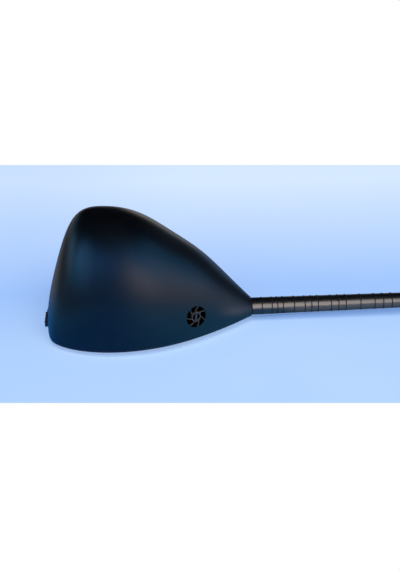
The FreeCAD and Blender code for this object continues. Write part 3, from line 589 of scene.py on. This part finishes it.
head = {"length": 0.178, "startWidth": 0.0288, "startDepth": 0.0216, "endWidth": 0.026, "depth": 0.019,
        "endDepth": 0.017, "bulge": 0.004, "shoulder": 0.1, "bevelWidth": 0.0118, "bevelDepth": 0.006,
        "stations": 96, "crowding": 1.6, "backPoints": 36, "hole": 0.0037, "holeSides": 40, "sideDepth": 0.0105,
        "sidePegs": (0.28, 0.505, 0.73), "frontPegs": (0.17, 0.395, 0.62, 0.845),
        "frontAcross": (0.05, 0.075, 0.115, 0.165), "frontReach": (-0.01, 0.03), "sideReach": (-0.03, 0.03),
        "edge": 0.0004}
headMatrix = layDown @ Matrix.Translation((neck["end"], 0, 0)) @ Matrix.Rotation(-neck["lean"], 4, "Y")


def headRing(x):
    shoulder, tipStart = head["length"] * head["shoulder"], head["length"] - head["endWidth"] / 2
    if x < shoulder:
        share = x / shoulder
        half = head["startWidth"] / 2
        depth, rise = between(head["startDepth"], head["depth"], share), between(half, head["bulge"], share)
    else:
        past = (x - shoulder) / (head["length"] - shoulder)
        half = between(head["startWidth"], head["endWidth"], past) / 2
        depth, rise, share = between(head["depth"], head["endDepth"], past), head["bulge"], 1.0
    if x > tipStart:
        half = min(half, sqrt(max(1e-8, (head["endWidth"] / 2) ** 2 - (x - tipStart) ** 2)))
    ridge = max(-half, head["bevelWidth"] - head["startWidth"] / 2)
    low = head["bevelDepth"] / head["bevelWidth"] * (ridge + half)
    ring = [(x, -half, low), (x, ridge, 0.0), (x, half, 0.0)]
    for k in range(head["backPoints"] + 1):
        angle = pi * k / head["backPoints"]
        up = between(sin(angle), sin(angle) ** 2, share)
        ring.append((x, half * cos(angle), depth - rise + rise * up))
    return ring


def makeHead():
    places = [head["length"] * (1 - (1 - k / head["stations"]) ** head["crowding"])
              for k in range(head["stations"] + 1)]
    piece = place("head_wood", skinMesh("head_wood", [headRing(x) for x in places], neckLacquer, headMatrix))
    fronts = [(head["length"] * share, head["startWidth"] * across)
              for share, across in zip(head["frontPegs"], head["frontAcross"])]
    sides = [(head["length"] * share, head["sideDepth"]) for share in head["sidePegs"]]
    swapped = headMatrix @ Matrix(((1, 0, 0, 0), (0, 0, 1, 0), (0, 1, 0, 0), (0, 0, 0, 1)))  # bores across, not down
    for centres, reach, matrix in ((fronts, head["frontReach"], headMatrix), (sides, head["sideReach"], swapped)):
        bores = [circle(head["hole"], head["holeSides"], centre) for centre in centres]
        carve(piece, prismsMesh("bores", bores, *reach, pegWood, matrix))
    soften(piece, head["edge"], segments=2, fromDegrees=40, sharpDegrees=35)
    seat(piece, "instrument", "head")


makeHead()
print("head made")

# pegs

peg = {"radius": 0.0036, "tip": 0.0031, "free": 0.009, "endShow": 0.0015, "gripHeight": 0.019, "points": 36,
       "end": ((0.0, 0.72), (0.0004, 0.93)), "shaftRings": 12, "shaftStart": 0.001, "shaftShort": 0.003,
       # height share, half width, half thickness and squareness of the grip
       "grip": ((0.00, 0.0037, 0.0036, 2.0), (0.05, 0.0041, 0.0034, 2.1), (0.12, 0.0045, 0.0032, 2.2),
                (0.22, 0.0052, 0.0031, 2.3), (0.32, 0.0062, 0.0031, 2.4), (0.42, 0.0076, 0.0032, 2.5),
                (0.52, 0.0092, 0.0033, 2.6), (0.62, 0.0104, 0.0034, 2.7), (0.72, 0.0109, 0.0035, 2.8),
                (0.82, 0.0110, 0.0035, 2.8), (0.90, 0.0107, 0.0034, 2.7), (0.95, 0.0101, 0.0030, 2.6),
                (0.985, 0.0090, 0.0022, 2.4), (1.0, 0.0072, 0.0010, 2.2))}


def pegRing(z, wide, thick, power):  # from a circle to a softened box as the power grows
    return [(wide * copysign(abs(c) ** (2 / power), c), thick * copysign(abs(s) ** (2 / power), s), z)
            for c, s in circle(1, peg["points"])]


def pegRings(inside):
    low, free = -inside - peg["endShow"], peg["free"]
    rings = [pegRing(low + rise, peg["tip"] * share, peg["tip"] * share, 2) for rise, share in peg["end"]]
    for k in range(peg["shaftRings"] + 1):
        share = k / peg["shaftRings"]
        radius = between(peg["tip"], peg["radius"], share)
        level = low + peg["shaftStart"] + (free - low - peg["shaftShort"]) * share
        rings.append(pegRing(level, radius, radius, 2))
    for share, wide, thick, power in peg["grip"]:
        rings.append(pegRing(free + peg["gripHeight"] * share, wide, thick, power))
    return rings


def pegPlaces():
    places = []
    for k, share in enumerate(head["sidePegs"], start=1):
        root = Matrix.Translation((head["length"] * share, -head["startWidth"] / 2, head["sideDepth"]))
        places.append((f"peg_side_{k}", headMatrix @ root @ Matrix.Rotation(pi / 2, 4, "X"), head["startWidth"]))
    for k, (share, across) in enumerate(zip(head["frontPegs"], head["frontAcross"]), start=1):
        root = Matrix.Translation((head["length"] * share, head["startWidth"] * across, 0))
        places.append((f"peg_front_{k}", headMatrix @ root @ Matrix.Rotation(pi, 4, "X"), head["depth"]))
    return places


def makePegs():
    for name, matrix, inside in pegPlaces():
        piece = place(name + "_turned", skinMesh(name + "_turned", pegRings(inside), pegWood, matrix))
        smoothMesh(piece.data, 50)
        seat(piece, name, name)


makePegs()
print("pegs made")

# tied frets, by Geometry Nodes

fret = {"width": 0.002, "turns": 4, "lineRadius": 0.00025, "gap": 0.00015, "corner": 0.0012, "backPoints": 30,
        "sides": 8, "shake": 0.00002, "bridgeX": 0.0825, "stringLength": 0.7, "knotHeight": 0.62,
        "ratios": (18 / 17, 12 / 11, 9 / 8, 81 / 68, 27 / 22, 81 / 64, 4 / 3, 24 / 17, 16 / 11,
                   3 / 2, 27 / 17, 18 / 11, 27 / 16, 16 / 9, 32 / 17, 64 / 33, 2 / 1, 36 / 17)}
knot = {"steps": 44, "start": 0.08, "sweep": 1.34,  # in turns; the next are shares of the line's radius
        "swing": 2.4, "sway": 1.1, "thick": 0.9, "stand": 1.3, "endStand": 0.4,
        "firstEnd": (0.0003, -0.0022), "lastEnd": (-0.0006, 0.0021)}


def makeFretTree():
    tree, take, give = newGroup(
        "tiedFret", {"Geometry": ["Geometry"], "Int": ["Turns", "Sides", "Seed"], "Vector": ["Along"],
                     "Float": ["Pitch", "Line Radius", "Shake"], "Material": ["Line"]},
        {"Geometry": ["Geometry"]}, "GeometryNodeTree")

    def step(kind, inputs, **fields):
        return addNode(tree, "GeometryNode" + kind, inputs, **fields).outputs

    knotted = step("InputNamedAttribute", {"Name": "knot"}, data_type="BOOLEAN")[0]
    parts = step("SeparateGeometry", {"Geometry": take["Geometry"], "Selection": knotted}, domain="POINT")
    loops = step("MeshToCurve", {"Mesh": parts["Inverted"]})[0]
    wraps = step("DuplicateElements", {"Geometry": loops, "Amount": take["Turns"]}, domain="SPLINE")
    middle = times(tree, mathNode(tree, "SUBTRACT", take["Turns"], 1.0), 0.5)
    shift = times(tree, mathNode(tree, "SUBTRACT", wraps[1], middle), take["Pitch"])
    shiver = addNode(tree, "FunctionNodeRandomValue", {"Seed": take["Seed"], 3: take["Shake"]}, data_type="FLOAT")
    total = mathNode(tree, "ADD", shift, shiver.outputs[1])
    offset = shade(tree, "VectorMath", {0: take["Along"], "Scale": total}, operation="SCALE")[0]
    moved = step("SetPosition", {"Geometry": wraps[0], "Offset": offset})[0]
    both = addNode(tree, "GeometryNodeJoinGeometry")
    for part in (step("MeshToCurve", {"Mesh": parts["Selection"]})[0], moved):
        tree.links.new(part, both.inputs[0])
    profile = step("CurvePrimitiveCircle", {"Resolution": take["Sides"], "Radius": take["Line Radius"]})[0]
    line = step("CurveToMesh", {"Curve": both.outputs[0], "Profile Curve": profile, "Fill Caps": True})[0]
    real = step("RealizeInstances", {"Geometry": step("SetShadeSmooth", {"Geometry": line})[0]})[0]
    tree.links.new(step("SetMaterial", {"Geometry": real, "Material": take["Line"]})[0], give[0])
    return tree, {item.name: item.identifier for item in tree.interface.items_tree if item.in_out == "INPUT"}


def fretLoop(x):  # round the neck and fingerboard, with eased front corners
    share = (x - neck["start"]) / (neck["end"] - neck["start"])
    width = between(neck["startWidth"], neck["endWidth"], share)
    depth = between(neck["startDepth"], neck["endDepth"], share)
    margin = fret["gap"] + fret["lineRadius"]
    half, spring, ease = width / 2 + margin, depth - width / 2, fret["corner"]
    points = [(hand * (half - ease + ease * sin(angle)), -margin + ease - ease * cos(angle))
              for hand, angles in ((-1, (pi / 2, pi / 4, 0)), (1, (0, pi / 4, pi / 2))) for angle in angles]
    return [(x, y, z) for y, z in points + arch(half, spring, fret["backPoints"])], half, spring


def knotPath(x, half, level):  # an overhand knot on the treble side, with its two cut ends
    radius = fret["lineRadius"]
    side = half + radius * knot["stand"]
    points = [(x + knot["firstEnd"][0], side, level + knot["firstEnd"][1])]
    for k in range(knot["steps"] + 1):
        angle = tau * (knot["start"] + knot["sweep"] * k / knot["steps"])
        swing = radius * (knot["swing"] + knot["sway"] * cos(3 * angle / 2))
        points.append((x + swing * cos(angle), side + radius * knot["thick"] * (1 + sin(3 * angle / 2)),
                       level + swing * sin(angle)))
    points.append((x + knot["lastEnd"][0], side + radius * knot["endStand"], level + knot["lastEnd"][1]))
    return points


def makeFrets():
    tree, sockets = makeFretTree()
    for k, ratio in enumerate(fret["ratios"], start=1):
        name = f"fret_{k:02d}"
        x = fret["bridgeX"] + fret["stringLength"] / ratio
        loop, half, spring = fretLoop(x)
        ends = knotPath(x, half, spring * fret["knotHeight"])
        count = len(loop)
        edges = [(j, (j + 1) % count) for j in range(count)]
        edges += [(count + j, count + j + 1) for j in range(len(ends) - 1)]
        mesh = bpy.data.meshes.new("fretBase")
        mesh.from_pydata([layDown @ Vector(p) for p in loop + ends], edges, [])
        flag = mesh.attributes.new("knot", "BOOLEAN", "POINT")
        flag.data.foreach_set("value", [j >= count for j in range(count + len(ends))])
        base = place("fretBase", mesh)
        tied = base.modifiers.new("tied", "NODES")
        tied.node_group = tree
        values = {"Turns": fret["turns"], "Pitch": fret["width"] / fret["turns"], "Line Radius": fret["lineRadius"],
                  "Sides": fret["sides"], "Along": alongLine, "Shake": fret["shake"], "Seed": k, "Line": fretLine}
        for label, value in values.items():
            tied[sockets[label]] = value
        made = finished(base)
        bpy.data.objects.remove(base)
        cleanMesh(made)
        made.name = name + "_line"
        if "knot" in made.attributes:
            made.attributes.remove(made.attributes["knot"])
        seat(place(name + "_line", made), name, name)


makeFrets()
print("frets made")

# strings

strings = {
    "nut": {"x": 0.7825, "width": 0.0288, "rise": 0.0017,
            "shares": (-0.333, -0.257, -0.038, 0.038, 0.226, 0.295, 0.365)},
    "bridge": {"x": 0.0825, "width": 0.062, "rise": 0.0105,
               "shares": (-0.29, -0.23, -0.033, 0.033, 0.20, 0.255, 0.31)},
    "tail": {"x": -0.0037725, "width": 0.033, "rise": 0.003,
             "shares": (-0.352, -0.27, -0.05, 0.05, 0.234, 0.311, 0.388)},
    "wound": (True, False, False, False, False, False, True), "plainRadius": 0.00015, "woundRadius": 0.00025,
    "turns": 5, "turnSteps": 18, "pitch": 0.00066, "level": 0.0058, "clear": 0.00005, "bend": 0.0012, "sides": 8,
    "drumRadius": 0.0011, "drumSides": 20,
    "drum": ((-1.0, 0.6), (-0.9, 0.95), (-0.55, 1.0), (-0.2, 0.72), (0.2, 0.72), (0.55, 1.0), (0.9, 0.95),
             (1.0, 0.6)),  # across the tail and outwards, as shares of its radius
}


def tubeMesh(name, path, radius, material):  # path in the world; a tube that doesn't twist
    rings = []
    across = (path[1] - path[0]).normalized().orthogonal().normalized()
    for k, point in enumerate(path):
        before, after = path[max(0, k - 1)], path[min(len(path) - 1, k + 1)]
        direction = (after - before).normalized()
        across = (across - direction * across.dot(direction)).normalized()
        rings.append(ringAt(point, across, direction.cross(across), radius, strings["sides"]))
    return skinMesh(name, rings, material, inWorld)


def easedPath(points, bend, steps=5):  # straight runs with rounded corners
    path = [points[0]]
    for before, corner, after in zip(points, points[1:], points[2:]):
        coming, going = (before - corner).normalized(), (after - corner).normalized()
        first, last = corner + coming * bend, corner + going * bend
        for k in range(steps + 1):
            s = k / steps
            path.append(first * (1 - s) ** 2 + corner * 2 * s * (1 - s) + last * s * s)
    path.append(points[-1])
    return path


def coilPath(matrix, nut, radius):  # round the peg, from where the string from the nut meets it
    turnRadius = peg["radius"] + radius + strings["clear"]
    start = matrix.inverted() @ nut
    heading = atan2(-start.y, -start.x) - asin(turnRadius / hypot(start.x, start.y))
    path = []
    for j in range(strings["turnSteps"] * strings["turns"] + 1):
        turned = tau * j / strings["turnSteps"]
        angle = heading - pi / 2 + turned
        level = strings["level"] - strings["pitch"] * turned / tau
        path.append(matrix @ Vector((turnRadius * cos(angle), turnRadius * sin(angle), level)))
    return path


def drumMesh(tail):
    up, radius = Vector((0, 0, 1)), strings["drumRadius"]
    rings = [ringAt(tail + acrossLine * (radius * reach), up, acrossLine.cross(up), radius * share,
                    strings["drumSides"]) for reach, share in strings["drum"]]
    return skinMesh("drum", rings, plainWire, inWorld)


def makeStrings():
    for k, (_, matrix, _) in enumerate(pegPlaces()):
        wound = strings["wound"][k]
        radius = strings["woundRadius" if wound else "plainRadius"]
        tail, bridge, nut = (layDown @ Vector((spot["x"], spot["width"] * spot["shares"][k], -spot["rise"]))
                             for spot in (strings["tail"], strings["bridge"], strings["nut"]))
        coil = coilPath(matrix, nut, radius)
        path = easedPath([tail, bridge, nut, coil[0]], strings["bend"]) + coil[1:]
        mesh = tubeMesh(f"string_{k + 1}_wire", path, radius, woundWire if wound else plainWire)
        drum = drumMesh(tail)
        both = bmesh.new()
        both.from_mesh(mesh)
        both.from_mesh(drum)
        both.to_mesh(mesh)
        both.free()
        bpy.data.meshes.remove(drum)
        smoothMesh(mesh, 45)
        seat(place(f"string_{k + 1}_wire", mesh), "instrument", f"string_{k + 1}")


makeStrings()
print("strings made")

# pieces whose solids are right: softened edges, better finishes

softened = {"bridge": (0.00035, mapleWood, "bridge", "maple"), "nut": (0.00025, bone, "instrument", "bone"),
            "string_holder": (0.0003, ebonyWood, "instrument", "ebony"),
            "fingerboard": (0.0003, ebonyWood, "instrument", "ebony")}
for name, (width, material, body, slotName) in softened.items():
    mesh = frame["nodes"][name].data.copy()
    cleanMesh(mesh, 1e-6, flat=True)
    mesh.materials.clear()
    mesh.materials.append(material)
    piece = place(name + "_softened", mesh)
    soften(piece, width, segments=3, fromDegrees=30, sharpDegrees=50)
    seat(piece, body, name)

dressed = {"soundboard": spruceBoard, "edge_binding": edgeLacquer, "tail_block": blockWood, "neck_block": blockWood,
           "brace_tail": blockWood, "brace_neck": blockWood}
for name, material in dressed.items():
    for materialSlot in frame["nodes"][name].material_slots:
        materialSlot.material = material
print("softened and dressed")

# camera

camera = {"azimuth": -4.31, "elevation": 30.65, "roll": -0.3, "target": (0.29352, 0.00347, 0.060),
          "distance": 1.70975, "focalPixels": 889.73, "imageHeight": 570, "sensor": 36, "clip": (0.05, 60)}


def makeCamera():
    back = towards(camera["azimuth"], camera["elevation"])
    spot = Vector(camera["target"]) + back * camera["distance"]
    roll = Matrix.Rotation(radians(camera["roll"]), 4, "Z")
    turned = back.to_track_quat("Z", "Y").to_matrix().to_4x4() @ roll
    data = bpy.data.cameras.new("camera")
    data.sensor_width = camera["sensor"]
    data.lens = camera["focalPixels"] * camera["sensor"] / camera["imageHeight"]
    data.clip_start, data.clip_end = camera["clip"]
    view = place("camera", data)
    view.matrix_world = layDown @ Matrix.Translation(spot) @ turned
    scene.camera = view
    return view.matrix_world.copy()


cameraMatrix = makeCamera()
print("camera made")

# floor, world and lamps

stage = {
    "size": 14.0, "cells": 8, "topRow": 165.0, "bottomRow": 403.0,  # the picture's rows where the paper ends
    # what the camera sees, and the limits along x or y where one colour turns into the next
    # the middle colour is a painted shadow: a broad darker band of paper behind the instrument
    "near": (0.452, 0.652, 0.91, 1), "middle": (0.385, 0.60, 0.96, 1), "far": (0.80, 0.92, 1.0, 1),
    "nearToShadowBand": (-0.1, 0.12), "shadowBandToFar": (0.12, 0.66), "lessAtLeft": (-0.6, -0.1, 0.82, 1.0),
    "cloudScale": 2.6, "clouds": (0.4, 0.7, 0.0, 0.08),
    "ownTint": (0.77, 0.90, 1.20, 1), "litTint": (1.23, 1.08, 0.93, 1), "ownLight": 0.5,
    # what the bowl reflects
    "front": (0.03, 0.26, 0.80, 1), "side": (0.085, 0.50, 1.0, 1), "nearest": (0.03, 0.03, 0.04, 1),
    "back": (0.32, 0.32, 0.35, 1), "backRight": (0.14, 0.30, 0.55, 1), "left": (0.10, 0.10, 0.11, 1),
    "frontMiddle": -0.42, "frontToSide": (0.05, 0.3), "toNearest": (-2.2, -0.55, 0.5, 0.0),
    "backToRight": (-0.22, -0.08), "frontToBack": (0.0, 0.2), "leftToRest": (-0.80, -0.66),
    # the warm gleam that only the lacquers reflect, along the neck's side and on the bowl's far edge
    "glowNeck": (2.2, 1.75, 1.55, 1), "glowFar": (0.42, 0.38, 0.34, 1), "glowFrom": (-0.14, -0.10),
    "glowTo": (-0.082, -0.054, 1.0, 0.0), "glowAlong": (-0.03, 0.03), "glowBehind": (0.7, 2.0),
}


def rowPlane(row):  # normal of the plane through the camera that meets the picture in this row
    slope = (camera["imageHeight"] / 2 - row) / camera["focalPixels"]
    up, back = cameraMatrix.to_3x3().col[1], cameraMatrix.to_3x3().col[2]
    normal = up + back * slope
    return normal, normal.dot(cameraMatrix.translation)


def bandMask(tree, where):  # the strip of paper between the picture's two rows
    sides = []
    for row, operation in ((stage["topRow"], "LESS_THAN"), (stage["bottomRow"], "GREATER_THAN")):
        normal, level = rowPlane(row)
        sides.append(mathNode(tree, operation, vectorNode(tree, "DOT_PRODUCT", where, normal)["Value"], level))
    return times(tree, *sides)


def emission(tree, color, strength=1.0):
    return shade(tree, "Emission", {"Color": color, "Strength": strength})[0]


def mixShaders(tree, share, first, second):
    return shade(tree, "MixShader", {0: share, 1: first, 2: second})[0]


def paperMaterial():
    material = bpy.data.materials.new("paperFloor")
    material.use_nodes = True
    tree = material.node_tree
    tree.nodes.clear()
    where = shade(tree, "TexCoord")["Object"]
    x, y = shade(tree, "SeparateXYZ", {0: where})[:2]
    path = shade(tree, "LightPath")
    seen = path["Is Camera Ray"]

    def turns(value, limits, first, second):  # from the first colour to the second between the limits
        return mixColors(tree, ramp(tree, value, *stage[limits]), first, second)

    far = times(tree, ramp(tree, y, *stage["shadowBandToFar"], shape="LINEAR"),
                   ramp(tree, x, *stage["lessAtLeft"]))
    # painted shadow: between near and far the paper darkens to the middle colour
    paper = mixColors(tree, far, turns(y, "nearToShadowBand", stage["near"], stage["middle"]), stage["far"])
    paper = turns(noiseNode(tree, where, stage["cloudScale"], 2.0)[0], "clouds", paper, stage["far"])
    litPaper, ownPaper = (mixColors(tree, 1.0, paper, stage[tint], "MULTIPLY")  # so that shadows turn bluer
                          for tint in ("litTint", "ownTint"))
    aside = mathNode(tree, "ABSOLUTE", mathNode(tree, "SUBTRACT", x, stage["frontMiddle"]))
    mirrored = turns(aside, "frontToSide", stage["front"], stage["side"])
    mirrored = turns(y, "toNearest", mirrored, stage["nearest"])
    mirrored = turns(y, "frontToBack", mirrored, turns(x, "backToRight", stage["back"], stage["backRight"]))
    mirrored = turns(x, "leftToRest", stage["left"], mirrored)
    diffuse = shade(tree, "BsdfDiffuse", {"Color": mixColors(tree, seen, mirrored, litPaper)})[0]
    own = times(tree, seen, stage["ownLight"])
    besideNeck = times(tree, ramp(tree, y, *stage["glowTo"]), ramp(tree, x, *stage["glowAlong"]))
    besideNeck = times(tree, besideNeck, ramp(tree, y, *stage["glowFrom"]))
    gleam = turns(y, "glowBehind", mixColors(tree, besideNeck, black, stage["glowNeck"]), stage["glowFar"])
    lit = shade(tree, "MixShader", {0: own, 1: diffuse})[0]
    for light in (emission(tree, ownPaper, own), emission(tree, gleam, path["Is Glossy Ray"])):
        lit = shade(tree, "AddShader", {0: lit, 1: light})[0]
    outside = times(tree, seen, mathNode(tree, "SUBTRACT", 1.0, bandMask(tree, where)))
    below = times(tree, seen, shade(tree, "NewGeometry")["Backfacing"])
    clear = shade(tree, "BsdfTransparent", {"Color": white})[0]
    final = mixShaders(tree, below, mixShaders(tree, outside, lit, emission(tree, white)), clear)
    tree.links.new(final, addNode(tree, "ShaderNodeOutputMaterial").inputs[0])
    return material


def makeFloor():
    size, count = stage["size"], stage["cells"]
    marks = [size * k / count - size / 2 for k in range(count + 1)]
    corners = [j * (count + 1) + i for j in range(count) for i in range(count)]
    faces = [(a, a + 1, a + count + 2, a + count + 1) for a in corners]
    points = [(x, y, 0) for y in marks for x in marks]
    floor = place("floor", meshFrom("floor", points, faces, paperMaterial(), inWorld))
    if floor.data.polygons[0].normal.z < 0:
        floor.data.flip_normals()


makeFloor()

# azimuth and elevation in degrees, distance, size, power, colour, and what it lights
lamps = {
    "key": (6, 62, 3.4, (3.0, 2.6), 137.0, (1.0, 0.93, 0.78), "all"),
    "neckLight": (10, 28, 1.6, (1.4, 1.6), 39.0, (1.0, 0.85, 0.71), "neck"),
    "underLight": (0, -65, 2.4, (2.6, 2.0), 70.0, (1.0, 0.97, 0.92), "pieces"),  # shows the front from below
}
lampAim = Vector((-0.1, 0, 0.05))


def makeLamps():
    lit = {"neck": bpy.data.collections.new("neckPieces"), "pieces": bpy.data.collections.new("allPieces")}
    for piece in bpy.data.objects:
        if piece.type == "MESH" and piece.name != "floor":
            lit["pieces"].objects.link(piece)
            if piece.name.startswith(("neck_", "head_", "fret_", "peg_")):
                lit["neck"].objects.link(piece)
    for name, (azimuth, elevation, distance, sides, power, color, lights) in lamps.items():
        away = towards(azimuth, elevation)
        data = bpy.data.lights.new(name, "AREA")
        data.shape, data.size, data.size_y = "RECTANGLE", *sides
        data.energy, data.color = power, color
        lamp = place(name, data)
        lamp.location = lampAim + away * distance
        lamp.rotation_mode = "QUATERNION"
        lamp.rotation_quaternion = (-away).to_track_quat("-Z", "Y")
        if lights in lit:
            lamp.light_linking.receiver_collection = lit[lights]
        if lights == "pieces":
            lamp.light_linking.blocker_collection = lit[lights]  # the floor doesn't stop it
        if lights != "neck":
            lamp.visible_glossy = False  # its shape doesn't show in the lacquer


makeLamps()

# what the lacquer reflects: azimuth, elevation, full and outer angle in degrees, and colour
room = {"dark": (0.010, 0.011, 0.015, 1), "patches": {
    "haze": (5, 2, 28, 60, (0.06, 0.18, 0.47, 1)),
    "skyLeft": (-43, 26, 6, 27, (0.32, 1.02, 2.20, 1)),
    "skyMiddle": (-6, 29, 5, 18, (0.03, 0.33, 1.05, 1)),
    "skyRight": (38, 31, 8, 23, (0.06, 0.56, 1.30, 1)),
    "skyFarRight": (72, 28, 8, 26, (0.14, 0.62, 1.34, 1)),
    "skyFarLeft": (-68, 17, 6, 21, (0.20, 0.85, 1.80, 1)),
    "lowLeft": (-98, 3, 6, 25, (0.40, 0.92, 1.50, 1)),
    "leftBack": (-130, -2, 8, 30, (0.09, 0.20, 0.32, 1)),
    "window": (25, 16, 6, 17, (1.55, 1.24, 1.08, 1)),
    "windowRight": (53, 11, 8, 24, (0.72, 0.57, 0.49, 1)),
    "lowRight": (76, 2, 6, 24, (0.34, 0.38, 0.50, 1)),
    "behindRight": (116, 20, 8, 30, (0.05, 0.065, 0.09, 1)),
    "behind": (162, 2, 6, 14, (1.05, 0.96, 0.85, 1)),
    "behindBlue": (140, 0, 6, 15, (0.12, 0.30, 0.58, 1)),
}}


def makeRoom():  # dark above and behind, with soft bright patches in front
    world = bpy.data.worlds.new("room")
    scene.world = world
    world.use_nodes = True
    tree = world.node_tree
    tree.nodes.clear()
    direction = shade(tree, "TexCoord")["Generated"]
    color = room["dark"]
    for azimuth, elevation, full, outer, patch in room["patches"].values():
        near = vectorNode(tree, "DOT_PRODUCT", direction, towards(azimuth, elevation))["Value"]
        share = ramp(tree, near, cos(radians(outer)), cos(radians(full)))
        color = mixColors(tree, share, color, patch, "ADD")
    seen = shade(tree, "LightPath")["Is Camera Ray"]
    shell, bright = (shade(tree, "Background", {"Color": light, "Strength": 1.0})[0] for light in (color, white))
    tree.links.new(mixShaders(tree, seen, shell, bright), addNode(tree, "ShaderNodeOutputWorld").inputs[0])


makeRoom()
scene.view_settings.view_transform = "Standard"
print("stage made")
